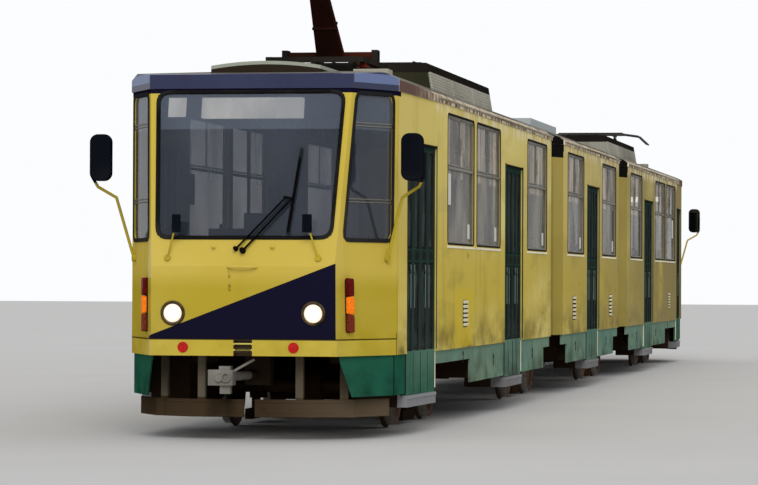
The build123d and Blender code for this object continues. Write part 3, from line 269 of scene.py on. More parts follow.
# A navy band across the top of the cab front, under the fascia: painted shadow, in the fascia's navy.
coat = coat.under((from_nose < 1.0) * (z > 2.915), NAVY)
wedge = on_nose * (z < (across * 0.38 + 1.185)) * z.between(bumper_top, 1.48) * (across < 0.785)
coat = coat.under(wedge, NAVY)
# The notch in the middle of the bumper is painted almost black: painted shade in the recess. Its two bars are
# painted pale.
bumper_notch_shade = on_nose * (abs(across) < 0.08) * (z < bumper_top)
coat = coat.under(bumper_notch_shade, (22, 16, 8))
coat = coat.under(bumper_notch_shade * (z.between(0.805, 0.82) + z.between(0.755, 0.77)), (85, 78, 40))
streak = on_nose * (abs(across + 0.11) < 0.012) * z.between(1.25, 1.44)
coat = coat.under(streak * enamel.noise(30.0, 2.0).ramp(0.35, 0.6) * 0.6, (45, 25, 10))
seams = (abs(z - bumper_top) < 0.006) * (from_nose < 0.86) + (abs(from_nose - 0.85) < 0.006) * (z < 0.9)
seams = seams + (abs(from_nose - joint_y + 0.61) < 0.004)
coat = coat.under(seams * 0.85, (12, 10, 6))
normal_x, normal_y, normal_z = enamel.normal()
facing = normal_x * x + normal_y * y * (from_nose < 0.9) * 0.05
coat = coat.under((facing < -0.15) * (z > 0.93), (62, 60, 54))
enamel.feed(Base_Color=coat, Coat_Weight=(on_nose - wedge * 0.8) * 0.3)
enamel.bump(enamel.noise(1.6, 2.0, (1.0, 0.3, 0.6)), 0.0015)


def dress(finish, *endings):
    """Gives a finish to the CAD nodes whose names end so."""
    for name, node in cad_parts.items():
        if name.endswith(endings):
            node.data.materials.clear()
            node.data.materials.append(finish.material)


SECTIONS = ("front", "middle", "rear")
ENDS = ("front", "rear")


def by_section(end, middle):
    """What each section has: both end sections have the same."""
    return {"front": end, "middle": middle, "rear": end}


dress(enamel, "_body")


# Roof shells: pressed steel, dusty grey on top, with a blue fascia round each cab and a pale rain gutter.
# The gutter is a folded strip riveted along the eaves.
class Shape:
    """Points and faces of a piece, gathered with Y from the nose and Z from the rail top."""

    def __init__(self):
        self.points, self.faces, self.count = [], [], 0

    def add(self, points, faces):
        points = np.asarray(points, float).reshape(-1, 3)
        self.faces += [tuple(int(i) + self.count for i in face) for face in faces]
        self.points.append(points)
        self.count += len(points)
        return self

    def grid(self, points, wrap_rows=False, wrap_columns=False, caps=False):
        """A surface over a grid of points, row by row, closed either way on demand."""
        rows, columns = points.shape[:2]
        index = np.arange(rows * columns).reshape(rows, columns)
        if wrap_rows:
            index = np.vstack([index, index[:1]])
        if wrap_columns:
            index = np.hstack([index, index[:, :1]])
        corners = (index[:-1, :-1], index[:-1, 1:], index[1:, 1:], index[1:, :-1])
        faces = np.stack(corners, axis=-1).reshape(-1, 4).tolist()
        if caps:
            faces += [list(range(columns))[::-1], list(range((rows - 1) * columns, rows * columns))]
        return self.add(points, faces)

    def along(self, path, profile, normal, closed=False):
        """A profile carried along a path, standing on the path's side and normal directions at each point."""
        path, profile = np.asarray(path, float), np.asarray(profile, float)
        if closed:
            step = np.roll(path, -1, axis=0) - np.roll(path, 1, axis=0)
        else:
            step = np.gradient(path, axis=0)
        step = step / np.linalg.norm(step, axis=1, keepdims=True)
        side = np.cross(step, np.broadcast_to(normal, path.shape))
        side = side / np.linalg.norm(side, axis=1, keepdims=True)
        up = np.cross(side, step)
        points = path[:, None] + profile[None, :, :1] * side[:, None] + profile[None, :, 1:] * up[:, None]
        return self.grid(points, wrap_rows=closed, wrap_columns=True, caps=not closed)

    def tube(self, start, end, radius, sides=12):
        """A straight round bar between two points."""
        start, end = np.asarray(start, float), np.asarray(end, float)
        run = end - start
        normal = (0, 0, 1.0) if abs(run[2]) < 0.9 * np.linalg.norm(run) else (1.0, 0, 0)
        path = start + np.linspace(0, 1.0, 3)[:, None] * run
        return self.along(path, ring_profile(radius, sides), normal)

    def prism(self, outline, offset):
        """A flat outline carried along an offset, closed at both ends."""
        outline = np.asarray(outline, float)
        return self.grid(np.stack([outline, outline + np.asarray(offset, float)]), wrap_columns=True,
                         caps=True)

    def turned(self, profile, centre, axis, sides=40):
        """A profile of radius and height turned round an axis through the centre."""
        axis = np.asarray(axis, float) / np.linalg.norm(axis)
        first = np.cross(axis, (1.0, 0, 0) if abs(axis[0]) < 0.9 else (0, 1.0, 0))
        first = first / np.linalg.norm(first)
        second = np.cross(axis, first)
        angle = np.linspace(0, 2 * np.pi, sides, endpoint=False)[None, :, None]
        radius, height = (np.asarray(profile, float)[:, i][:, None, None] for i in (0, 1))
        spoke = np.cos(angle) * first + np.sin(angle) * second
        return self.grid(np.asarray(centre) + height * axis + radius * spoke, wrap_columns=True, caps=True)


def ring_profile(radius, sides=12):
    """Points round a circle."""
    angle = np.linspace(0, 2 * np.pi, sides, endpoint=False)
    return np.stack([radius * np.cos(angle), radius * np.sin(angle)], axis=1)


def bar_profile(width, height, bevel):
    """A rectangle with its corners cut off, centred across, standing on its base line."""
    half = width / 2
    return np.array([(-half, 0), (half, 0), (half, height - bevel), (half - bevel, height),
                     (-half + bevel, height), (-half, height - bevel)])


OUT, AHEAD, UP, RAKED = (1, 0, 0), (0, -1, 0), (0, 0, 1), (0, -1, 0.2)


def fit(shape, section, label, finish, once=False, body=None, replaces=(), bevel=0.0, smooth=35.0):
    """Makes a shape an object of its section or bogie, on both sides unless it stands once.

    The rear section's pieces are the front one's turned half round.
    """
    name = f"{section}_{label}"
    points = np.concatenate(shape.points) + np.array([0.0, -nose_length, rail_drop])
    faces = list(shape.faces)
    if not once:
        count = len(points)
        points = np.concatenate([points, points * np.array([-1.0, 1.0, 1.0])])
        faces += [tuple(i + count for i in reversed(face)) for face in shape.faces]
    if section == "rear":
        points = points * np.array([-1.0, -1.0, 1.0])
    mesh = bpy.data.meshes.new(name)
    mesh.from_pydata(points.tolist(), [], faces)
    work = bmesh.new()
    work.from_mesh(mesh)
    bmesh.ops.recalc_face_normals(work, faces=work.faces)
    work.to_mesh(mesh)
    work.free()
    mesh.shade_smooth()
    mesh.set_sharp_from_angle(angle=math.radians(smooth))
    mesh.materials.append(finish.material)
    piece = placed(name, mesh)
    if bevel:
        edge = piece.modifiers.new("edge", "BEVEL")
        edge.width, edge.segments, edge.limit_method = bevel, 2, "ANGLE"
    if replaces:
        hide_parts(*replaces)
    if body != "blend":
        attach(piece, body or f"{section}_section")
    return piece


roof_finish = Finish("roof_dust_grey", Coat_Roughness=0.2)
x, y, z = roof_finish.place()
coat = roof_finish.wear((50, 49, 46), (36, 34, 30), (16, 14, 12), 0.5)
eaves = z < 3.05
drips = roof_finish.noise(9.0, 5.0, (1.0, 1.0, 0.4)).ramp(0.34, 0.66)
drips = drips * abs(y).ramp(nose_length - 1.4, nose_length - 3.0)
coat = coat.under(eaves, roof_finish.mix(drips, (43, 34, 31), (95, 90, 78)))
joint_end = (abs((nose_length - abs(y)) - joint_y) < 0.62) * (abs(x) < 1.24)
coat = coat.under(joint_end * eaves, SHADOW)
band_end = 0.87
blue_band = (abs(y) > nose_length - band_end) * (z < 3.1)
blue = roof_finish.wear((17, 19, 31), (22, 25, 38), (8, 8, 12), 0.3)
# The fascia's upper corners are painted a lighter blue: a painted reflection of the sky on the sloping visor.
blue = blue.under((abs(x) > 0.88) * z.between(3.005, 3.085), (40, 46, 62))
coat = coat.under(blue_band, blue)
coat = coat.under(roof_finish.normal()[2] < -0.2, (66, 64, 57))
roof_finish.feed(Base_Color=coat, Coat_Weight=blue_band * 0.5)
roof_finish.bump(roof_finish.noise(14.0, 3.0), 0.003)
dress(roof_finish, "_roof")

SIDE_X, CORNER_X, CORNER_Y, TAPER_END = 1.24, 1.156, 0.85, 3.05


def side_x(along, inset=0.0):
    """Half width of the side wall: straight behind the taper, and narrowing linearly to the cab's corner."""
    share = np.clip((np.asarray(along, float) - CORNER_Y) / (TAPER_END - CORNER_Y), 0, 1.0)
    return CORNER_X + share * (SIDE_X - CORNER_X) - inset


gutter_paint = painted("gutter_strip", (72, 69, 62), (55, 50, 44), GRIME, 0.7, Roughness=0.5)
EAVES = 2.965
GUTTER_RUNS = by_section((2.6, 10.75), (12.05, 18.25))
for section in SECTIONS:
    gutter = Shape()
    first, last = GUTTER_RUNS[section]
    run = np.array([first, TAPER_END, last]) if first < TAPER_END else np.array([first, last])
    run = np.interp(np.linspace(0, 1, 24), np.linspace(0, 1, len(run)), run)
    path = np.stack([side_x(run, -0.0125), run, np.full_like(run, EAVES)], axis=1)
    fold = [(-0.008, 0), (0.008, 0), (0.008, 0.004), (0.001, 0.004), (0.001, 0.022), (-0.008, 0.022)]
    gutter.along(path, fold, OUT)
    fit(gutter, section, "gutters", gutter_paint)


# Side windows: toughened panes in rubber, each with a fixed lower light and two sliding lights above a bar.
# The frames are anodised aluminium, the outer seal is black rubber with a pale sill strip under it.
# Small blank paper notices are stuck inside the glass.
glass = Finish("window_glass", Roughness=0.1, Coat_Roughness=0.03)
x, y, z = glass.place()
in_front = (nose_length - abs(y)) < 0.86
haze = glass.noise(1.6, 4.0, (1.0, 1.0, 0.5)).ramp(0.35, 0.75)
curtains = glass.noise(6.0, 3.0, (1.0, 1.0, 0.12)).ramp(0.46, 0.6) * (z > 2.3)
side_tint = glass.mix(haze, (38, 38, 37), (70, 67, 61))
side_tint = side_tint.under(curtains * 0.7, (95, 88, 76))
front_tint = glass.mix((z > 2.61) * 0.8 + haze * 0.2, (19, 22, 27), (36, 40, 46))
glass.feed(Base_Color=glass.mix(in_front, side_tint, front_tint), Alpha=0.4 + haze * 0.14 + in_front * 0.12,
           Coat_Weight=0.35 + in_front * 0.4)
dress(glass, "_windows")

rubber = painted("seal_rubber", (15, 15, 15), (24, 23, 21), (30, 27, 21), 0.5, Roughness=0.7)
frame_metal = painted("frame_aluminium", (50, 49, 46), (36, 34, 31), GRIME, 0.5, Metallic=0.3, Roughness=0.55)
sill_paint = painted("sill_strip", (95, 93, 84), (85, 81, 66), GRIME, 0.3, Roughness=0.5)

paper = Finish("notice_paper", Roughness=0.7)
paper.feed(Base_Color=paper.mix(paper.noise(9.0), (90, 89, 86), (80, 79, 75)))

WINDOW_LOW, WINDOW_HIGH, HOPPER = 1.657, 2.856, 2.36
WINDOWS = by_section([(3.09, 1.66), (4.92, 1.67), (8.69, 1.7)], [(12.39, 1.71), (16.2, 1.71)])


def rectangle(first, last, low, high):
    """The four corners, from the first low one round."""
    return [(first, low), (last, low), (last, high), (first, high)]


def rounded(low, high, radius, corner_points=6):
    """Points round a rectangle with rounded corners: a quarter circle at each."""
    angle = np.linspace(0, np.pi / 2, corner_points)
    centres = [(high[0] - radius, high[1] - radius), (low[0] + radius, high[1] - radius),
               (low[0] + radius, low[1] + radius), (high[0] - radius, low[1] + radius)]
    return np.concatenate([np.stack([cy + radius * np.cos(angle + k * np.pi / 2),
                                     cz + radius * np.sin(angle + k * np.pi / 2)], axis=1)
                           for k, (cy, cz) in enumerate(centres)])


def on_side(outline, inset=0.0):
    """Side-wall points from pairs of along and up."""
    outline = np.asarray(outline, float)
    return np.stack([side_x(outline[:, 0], inset), outline[:, 0], outline[:, 1]], axis=1)


def dense(path, spacing=0.08):
    """A polyline with extra points, none further apart than the spacing."""
    path = np.asarray(path, float)
    reach = np.concatenate([[0.0], np.cumsum(np.linalg.norm(np.diff(path, axis=0), axis=1))])
    stations = np.linspace(0, reach[-1], max(2, int(reach[-1] / spacing) + 1))
    return np.stack([np.interp(stations, reach, path[:, k]) for k in range(path.shape[1])], axis=1)


def beading(shape, outline, inset, bar, spacing=None, closed=False):
    """A bar of a width, height and bevel along an outline on the side wall."""
    path = on_side(outline, inset)
    shape.along(path if spacing is None else dense(path, spacing), bar_profile(*bar), OUT, closed)


NOTICE_INSET, NOTICE_SHEET = 0.023, (-0.001, 0, 0)
for section in SECTIONS:
    seals, frames, sills, notices = Shape(), Shape(), Shape(), Shape()
    for start, length in WINDOWS[section]:
        end = start + length
        middle = (start + end) / 2
        for shape, gap, radius, inset, bar in ((seals, 0.002, 0.05, 0.004, (0.018, 0.008, 0.003)),
                                               (frames, 0.018, 0.036, 0.024, (0.02, 0.012, 0.003))):
            loop = rounded((start + gap, WINDOW_LOW + gap), (end - gap, WINDOW_HIGH - gap), radius)
            beading(shape, loop, inset, bar, closed=True)
        sill = [(start - 0.01, WINDOW_LOW - 0.026), (end + 0.01, WINDOW_LOW - 0.026)]
        beading(sills, sill, 0, (0.02, 0.008, 0.003))
        beading(frames, [(start + 0.02, HOPPER), (end - 0.02, HOPPER)], 0.024, (0.028, 0.018, 0.005))
        for sash_start, sash_end, depth in ((start + 0.03, middle + 0.02, 0.024),
                                            (middle - 0.02, end - 0.03, 0.03)):
            sash = rounded((sash_start, HOPPER + 0.03), (sash_end, WINDOW_HIGH - 0.032), 0.02, 4)
            beading(frames, sash, depth, (0.014, 0.01, 0.003), closed=True)
        beading(frames, [(middle + 0.05, 2.5), (middle + 0.05, 2.66)], 0.014, (0.016, 0.008, 0.003))
        notices.prism(on_side(rectangle(end - 0.27, end - 0.13, 1.72, 1.86), NOTICE_INSET), NOTICE_SHEET)
    if section != "middle":
        notices.prism(on_side(rectangle(3.22, 3.44, 2.02, 2.31), NOTICE_INSET), NOTICE_SHEET)
    fit(notices, section, "window_notices", paper)
    fit(seals, section, "window_seals", rubber)
    fit(frames, section, "window_frames", frame_metal)
    fit(sills, section, "window_sills", sill_paint)


# Cab glazing: a one-piece windscreen and two corner lights, bonded into the nose with black rubber.
# The corner lights have two pairs of thin bars across.
CREASE, SKIRT_LINE, ROOF_SEAT = 1.433, 0.688, 2.93


def nose_at(up):
    """Half width and setback of the nose at a height: linear below the crease and above it."""
    up = np.asarray(up, float)
    low, high = (CREASE - up) / (CREASE - SKIRT_LINE), (up - CREASE) / (ROOF_SEAT - CREASE)
    half = np.where(up < CREASE, 0.779 + low * 0.011, 0.779 + high * 0.086)
    return half, np.where(up < CREASE, low * 0.048, high * 0.318)


def on_nose_face(outline, lift=0.0):
    """Nose points from pairs of across and up, lifted forwards off the sheet."""
    outline = np.asarray(outline, float)
    return np.stack([outline[:, 0], nose_at(outline[:, 1])[1] - lift, outline[:, 1]], axis=1)


def on_corner(outline, lift=0.0):
    """Corner-panel points from pairs of share towards the side and up, lifted outwards."""
    share, up = np.asarray(outline, float).T
    half, setback = nose_at(up)
    run_x, run_y = CORNER_X - half, CORNER_Y - setback
    length = np.hypot(run_x, run_y)
    return np.stack([half + share * run_x + lift * run_y / length,
                     setback + share * run_y - lift * run_x / length, up], axis=1)


def smooth_loop(corners, radius, steps=6):
    """A closed polygon with each corner rounded by a quadratic curve that starts a radius before it."""
    corners = np.asarray(corners, float)
    before, after = np.roll(corners, 1, axis=0) - corners, np.roll(corners, -1, axis=0) - corners
    start = corners + before / np.linalg.norm(before, axis=1, keepdims=True) * radius
    end = corners + after / np.linalg.norm(after, axis=1, keepdims=True) * radius
    t = np.linspace(0, 1.0, steps)[None, :, None]
    curve = (1 - t) ** 2 * start[:, None] + 2 * t * (1 - t) * corners[:, None] + t ** 2 * end[:, None]
    return curve.reshape(-1, corners.shape[1])


def dense_loop(corners, radius, spacing=0.06):
    """A rounded closed polygon with extra points along its straights."""
    loop = smooth_loop(corners, radius)
    return dense(np.vstack([loop, loop[:1]]), spacing)[:-1]


LIGHT_START, LIGHT_END = 0.105, 0.905
for section in ENDS:
    seals, bars = Shape(), Shape()
    screen = dense_loop([(-0.742, 1.668), (0.742, 1.668), (0.802, 2.902), (-0.802, 2.902)], 0.09)
    seals.along(on_nose_face(screen, 0.001), bar_profile(0.026, 0.01, 0.004), RAKED, closed=True)
    inner = on_nose_face(screen * 0.992 + np.array([0, 0.018]), -0.012)
    seals.along(inner, bar_profile(0.03, 0.01, 0.004), RAKED, closed=True)
    light = dense_loop(rectangle(LIGHT_START - 0.005, LIGHT_END + 0.008, 1.655, 2.892), 0.075, 0.05)
    normal = (0.9, -0.43, 0)
    seals.along(on_corner(light, 0.001), bar_profile(0.034, 0.009, 0.003), normal, closed=True)
    for up in (1.975, 2.000, 2.615, 2.64):
        line = dense(on_corner([(LIGHT_START, up), (LIGHT_END, up)], -0.012))
        bars.along(line, bar_profile(0.01, 0.01, 0.003), normal)
    fit(seals, section, "cab_seals", rubber)
    fit(bars, section, "corner_light_bars", frame_metal)


# Driver's cab: a moulded desk, a sprung chair and a glazed partition, seen through the windscreen.
# A roller blind in a white case and a small blank plate hang behind the glass at the top; both glow, a
# painted light for the daylight that falls on them.
cab_finish = painted("cab_moulding", (24, 25, 26), (32, 32, 32), GRIME, 0.1, Roughness=0.6)
dress(cab_finish, "_cab")
# The blind and the plate glow although they hold no lamp: painted light.
blind_painted_glow = Finish("blind_case", Emission_Strength=2.0)
coat = blind_painted_glow.wear((90, 88, 84), (80, 78, 75), (50, 50, 50), 0.15)
blind_painted_glow.feed(Base_Color=coat, Emission_Color=(86, 84, 80))
dials = mottled("desk_dials", (5, 5, 6), (55, 55, 50), 40.0, 0.5, 0.6, Roughness=0.35)
for section in ENDS:
    blind, desk_top = Shape(), Shape()
    blind.prism(on_nose_face(rectangle(-0.43, 0.43, 2.68, 2.855), -0.045), (0, 0.12, 0))
    blind.prism(on_nose_face(rectangle(-0.715, -0.56, 2.69, 2.855), -0.035), (0, 0.012, 0))
    for centre in (-0.36, -0.16, 0.04, 0.24):
        desk_top.turned([(0, 0), (0.062, 0), (0.062, 0.012), (0.052, 0.016), (0.05, 0.008), (0, 0.008)],
                        (centre, 0.42, 1.552), (0, 0.39, 1.0), 28)
    for lever_x, knob, reach in ((-0.46, 0.026, 0.1), (0.46, 0.03, 0.12)):
        desk_top.turned([(0, 0), (0.03, 0), (0.02, 0.03), (0.012, reach), (knob, reach + 0.03),
                         (0, reach + 0.045)], (lever_x, 0.6, 1.544), UP, 20)
    fit(blind, section, "roller_blind", blind_painted_glow, bevel=0.006, once=True)
    fit(desk_top, section, "desk_dials", dials, once=True)


# Saloon: moulded seat shells on steel legs, grab poles from floor to ceiling, and rails at shoulder height.
# Seats are pressed laminate in worn red brown.
seat_finish = painted("seat_laminate", (46, 20, 15), (52, 29, 20), GRIME, 0.3)
dress(seat_finish, "_saloon")
pole_finish = painted("grab_rail_enamel", (72, 66, 30), (60, 56, 30), GRIME, 0.2, Roughness=0.35)
RAIL_RUNS = by_section((2.7, 10.9), (11.9, 18.4))
for section in SECTIONS:
    rails = Shape()
    for along in RAIL_RUNS[section]:
        rails.tube((0.52, along, 2.72), (0.52, along, 2.9), 0.012, 8)
    rails.tube((0.52, RAIL_RUNS[section][0], 2.72), (0.52, RAIL_RUNS[section][1], 2.72), 0.016, 10)
    fit(rails, section, "grab_rails", pole_finish)


# Lamps: two sealed headlamps in chromed bezels, tall signal lamps on the corners, round red reflectors.
# Each is bolted through the sheet; the headlamps are lit.
chrome = mottled("bezel_chrome", (34, 29, 21), (16, 13, 9), 18.0, 0.45, 0.7, Metallic=0.8, Roughness=0.3)
lens_glow = Finish("headlamp_lens", Roughness=0.15, Specular_IOR_Level=0.5, Emission_Strength=1.25)
x, y, z = lens_glow.place()
ribs = (x * 260.0).math("SINE") * 0.5 + 0.5
lamp_x, lamp_up = 0.597, 1.042
lamp_z = lamp_up + rail_drop
reach = ((abs(x) - lamp_x) * (abs(x) - lamp_x) + (z - lamp_z) * (z - lamp_z)).math("SQRT")
core = 1.0 - reach.ramp(0.02, 0.085)
glow = lens_glow.mix(core * 0.8 + lens_glow.noise(26.0, 2.0) * 0.3, (66, 52, 40), (100, 98, 92))
lens_glow.feed(Base_Color=(80, 78, 70), Emission_Color=glow)
lens_glow.bump(ribs, 0.002)
LENSES = {}
for name, bright, dull, lit in (("amber", (95, 50, 10), (85, 38, 7), 0.35),
                                ("red", (45, 6, 5), (30, 4, 4), 0),
                                ("brown", (52, 20, 12), (40, 14, 9), 0),
                                ("bright", (80, 16, 14), (66, 10, 10), 0)):
    lens = Finish(f"{name}_lens", Roughness=0.25, Coat_Weight=0.15, Emission_Strength=lit)
    prisms = lens.noise(90.0, 1.0).ramp(0.35, 0.65)
    lens.feed(Base_Color=lens.mix(prisms, dull, bright), Emission_Color=lens.mix(prisms, dull, bright))
    lens.bump(prisms, 0.001)
    LENSES[name] = lens
lamp_case = painted("lamp_case", (14, 12, 12), (22, 19, 17), GRIME, 0.3, Roughness=0.55)
LENS_RADIUS = 0.077
panel_lean = math.atan2(0.048, CREASE - SKIRT_LINE)
lamp_axis = (0, -math.cos(panel_lean), -math.sin(panel_lean))
for section in ENDS:
    bezels, lenses, reflectors, cases, ambers, reds, browns = (Shape() for _ in range(7))
    centre = on_nose_face([(lamp_x, lamp_up)], 0.0003)[0]
    bezel = [(0, -0.06), (0.07, -0.06), (0.08, -0.02), (0.08, 0), (0.104, 0), (0.104, 0.008), (0.099, 0.014),
             (0.09, 0.016), (0.081, 0.013), (0.078, 0.006), (0, 0.006)]
    bezels.turned(bezel, centre, lamp_axis, 56)
    swing = np.linspace(0, np.pi / 2, 12)
    dome = np.stack([LENS_RADIUS * np.cos(swing), 0.008 + 0.0125 * np.sin(swing)], axis=1)
    lenses.turned(np.concatenate([[(0, 0.0065), (LENS_RADIUS, 0.0065)], dome]), centre, lamp_axis, 56)
    for disc_x in (-0.51, 0.43):
        reflectors.turned([(0, 0), (0.0445, 0), (0.0445, 0.006), (0.041, 0.009), (0.038, 0.007), (0, 0.0085)],
                          (disc_x, 0.0391 - 0.012, 0.758), AHEAD, 40)
    out = np.array([0.912, -0.409, 0.0])
    cases.prism(on_corner(dense_loop(rectangle(0.152, 0.238, 0.882, 1.338), 0.012, 0.03), 0.001), out * 0.01)
    for low, high, target in ((0.884, 1.034, browns), (1.038, 1.184, ambers), (1.188, 1.336, reds)):
        pane = dense_loop(rectangle(0.1525, 0.2375, low, high), 0.01, 0.03)
        target.prism(on_corner(pane, 0.011), out * 0.034)
    fit(bezels, section, "headlamp_bezels", chrome, replaces=[f"{section}_lamps"])
    fit(lenses, section, "headlamp_lenses", lens_glow)
    fit(reflectors, section, "reflectors", LENSES["bright"], once=True)
    fit(cases, section, "signal_lamp_cases", lamp_case, bevel=0.003)
    for shape, name in ((ambers, "amber"), (reds, "red"), (browns, "brown")):
        fit(shape, section, f"{name}_lenses", LENSES[name], bevel=0.004)


# Nose fittings: a grab handle under the windscreen and two washer knobs.
# All are steel, painted over with the body.
trim_yellow = painted("fitting_enamel", YELLOW, YELLOW_FADED, GRIME, 0.3)
dark_steel = painted("dark_steel", (13, 12, 11), (21, 19, 16), (30, 22, 14), 0.4)
knob = [(0, 0), (0.02, 0), (0.02, 0.006), (0.011, 0.01), (0.011, 0.022), (0.016, 0.028), (0.01, 0.036),
        (0, 0.038)]
for section in ENDS:
    handle = Shape()
    arc = np.linspace(0, 1.0, 17)
    bow = np.stack([-0.125 + 0.25 * arc, -0.002 - 0.042 * np.sin(np.pi * arc) ** 0.4,
                    np.full_like(arc, 1.427)], axis=1)
    handle.along(bow, ring_profile(0.009, 10), UP)
    for side in (-0.25, 0.25):
        handle.turned(knob, on_nose_face([(side, 1.594)])[0], RAKED, 24)
    fit(handle, section, "nose_handle", trim_yellow, once=True)


# Windscreen wiper and driver's mirrors: black-enamelled steel arms, a rubber blade, moulded mirror heads.
# The mirror tubes are painted with the body.
wiper_black = painted("wiper_enamel", (5, 5, 5), (12, 12, 12), GRIME, 0.2, Roughness=0.45)
dress(wiper_black, "_wiper")
mirror_finish = Finish("mirror_shell_and_tube", Roughness=0.4)
x, y, z = mirror_finish.place()
heads = z.between(2.17, 2.6) * (abs(x) > 1.2)
shell = mirror_finish.wear((6, 7, 10), (12, 13, 15), GRIME, 0.2)
tube_paint = mirror_finish.wear((74, 66, 20), (62, 55, 22), GRIME, 0.5)
mirror_finish.feed(Base_Color=mirror_finish.mix(heads.math("MAXIMUM", (abs(x) < 0.75) * (z > 1.735)),
                                                tube_paint, shell))
dress(mirror_finish, "_mirrors")
mirror_glass = mottled("mirror_glass", (34, 36, 38), (24, 25, 26), 9.0, 0.5, 0.8, Metallic=1.0,
                       Roughness=0.04)
blade_outline = [(-0.004, 0), (0.004, 0), (0.012, 0.008), (0.012, 0.016), (-0.012, 0.016), (-0.012, 0.008)]
for section in ENDS:
    blade, faces = Shape(), Shape()
    stem = np.linspace(0, 1.0, 12)[:, None]
    line = np.array([0.375, 0, 1.7]) + stem * np.array([0.085, 0, 0.72])
    path = on_nose_face(line[:, [0, 2]], 0.006)
    blade.along(path, blade_outline, RAKED)
    faces.prism([(side, 0.5203, up) for side, up in rectangle(1.275, 1.414, 2.185, 2.53)], (0, 0.003, 0))
    fit(blade, section, "wiper_blade", rubber, once=True)
    fit(faces, section, "mirror_glasses", mirror_glass, bevel=0.001)


# Under the nose: swept-back lifeguard plates on posts, and the folding coupler with its lift bar.
# Plates and posts carry years of road dust over pale primer; the coupler head is cast and grey.
guard_finish = Finish("lifeguard_dust", Roughness=0.85)
x, y, z = guard_finish.place()
coat = guard_finish.wear((27, 22, 16), (22, 17, 12), (10, 8, 5), 0.8)
posts = guard_finish.wear((42, 39, 33), (32, 28, 22), (16, 13, 9), 0.8)
lit_side = (x * y.math("SIGN") * -1.0).ramp(0, 0.9)
coat = coat.under(lit_side * 0.22, (58, 52, 43))
guard_finish.feed(Base_Color=guard_finish.mix(z > 0.36, coat, posts))
guard_finish.bump(guard_finish.noise(24.0, 4.0), 0.003)
dress(guard_finish, "_lifeguard")
coupler_finish = Finish("coupler_casting", Metallic=0.2, Roughness=0.7)
coat = coupler_finish.wear((58, 57, 54), (34, 31, 27), (13, 10, 7), 0.9)
pocket = (nose_length - abs(coupler_finish.place()[1])) > 0.5
coupler_finish.feed(Base_Color=coupler_finish.mix(pocket, coat, (20, 16, 12)))
coupler_finish.bump(coupler_finish.noise(55.0, 4.0), 0.004)
dress(coupler_finish, "_coupler")
for section in ENDS:
    strip = Shape()
    plan = np.array([(0.05, 0.2986), (0.5, 0.3286), (0.85, 0.4986), (1.08, 0.8905)])
    for up, height in ((0.185, 0.026), (0.3, 0.018)):
        edge = dense(np.column_stack([plan, np.full(len(plan), up)]), 0.1)
        strip.along(edge, bar_profile(height, 0.004, 0.001), (0.4, -1, 0))
    for bolt_x, bolt_y in ((0.12, 0.3045), (0.35, 0.32)):
        strip.turned([(0, 0), (0.012, 0), (0.012, 0.006), (0, 0.009)], (bolt_x, bolt_y, 0.242), AHEAD, 8)
    fit(strip, section, "lifeguard_strips", guard_finish)


# Skirts and steps: hinged steel flaps under the body in green, fresher round the cab than along the side.
# Door sills have a pale aluminium edging and ribbed treads; round key latches hold the flaps.
skirt_finish = Finish("skirt_enamel", Roughness=0.5)
x, y, z = skirt_finish.place()
from_nose = nose_length - abs(y)
side_green = skirt_finish.wear((43, 56, 50), (48, 58, 50), (22, 20, 15), 0.35, 0.36)
cab_green = skirt_finish.wear((14, 37, 29), (17, 39, 31), (8, 14, 11), 0.3, 0.36)
coat = skirt_finish.mix(from_nose < 1.31, side_green, cab_green)
skirt_finish.feed(Base_Color=skirt_finish.mix(abs(from_nose - 0.85) < 0.007, coat, (6, 10, 8)))
dress(skirt_finish, "_skirts")
floor_finish = Finish("underframe_grime", Roughness=0.85)
x, y, z = floor_finish.place()
coat = floor_finish.wear((17, 13, 10), (26, 20, 15), (8, 6, 5), 0.6)
edging = floor_finish.wear((55, 55, 56), (44, 43, 42), (25, 21, 17), 0.6)
aisle = floor_finish.wear((34, 33, 32), (42, 41, 39), GRIME, 0.1)
coat = coat.under((z > 0.92) * (abs(x) < 1.15), aisle)
floor_finish.feed(Base_Color=floor_finish.mix((abs(x) > 1.09) * z.between(0.235, 0.36), coat, edging))
floor_finish.bump(floor_finish.noise(30.0, 4.0), 0.003)
dress(floor_finish, "_floor")
DOORS = by_section([door_1_y, door_2_y], [14.52])
LATCHES = by_section([(4.2, 0.63), (6.25, 0.56), (9.3, 0.56)], [(13.4, 0.56), (16.9, 0.56)])
tread_plate = painted("tread_aluminium", (56, 56, 57), (44, 43, 41), GRIME, 0.5, Metallic=0.2)
for section in SECTIONS:
    nosings, latches = Shape(), Shape()
    for start in DOORS[section]:
        nose = [(start + 0.003, 0.308), (start + door_width - 0.003, 0.308)]
        beading(nosings, nose, 0, (0.026, 0.006, 0.002), 0.08)
        for rib in range(5 if section == "middle" or start != door_2_y else 0):
            line = on_side([(start + 0.02, 0.325), (start + door_width - 0.02, 0.325)], 0.075 + 0.03 * rib)
            nosings.along(dense(line), bar_profile(0.01, 0.003, 0.001), UP)
    for along, up in LATCHES[section]:
        face = side_x(along, 0.02)
        latches.turned([(0, 0), (0.026, 0), (0.026, 0.003), (0.018, 0.005), (0.014, 0.002), (0, 0.002)],
                       (face, along, up), OUT, 20)
        tongue = rectangle(along - 0.012, along + 0.012, up - 0.09, up - 0.03)
        latches.prism([(face, *corner) for corner in tongue], (0.004, 0, 0))
    fit(nosings, section, "step_nosings", tread_plate)
    fit(latches, section, "flap_latches", dark_steel)


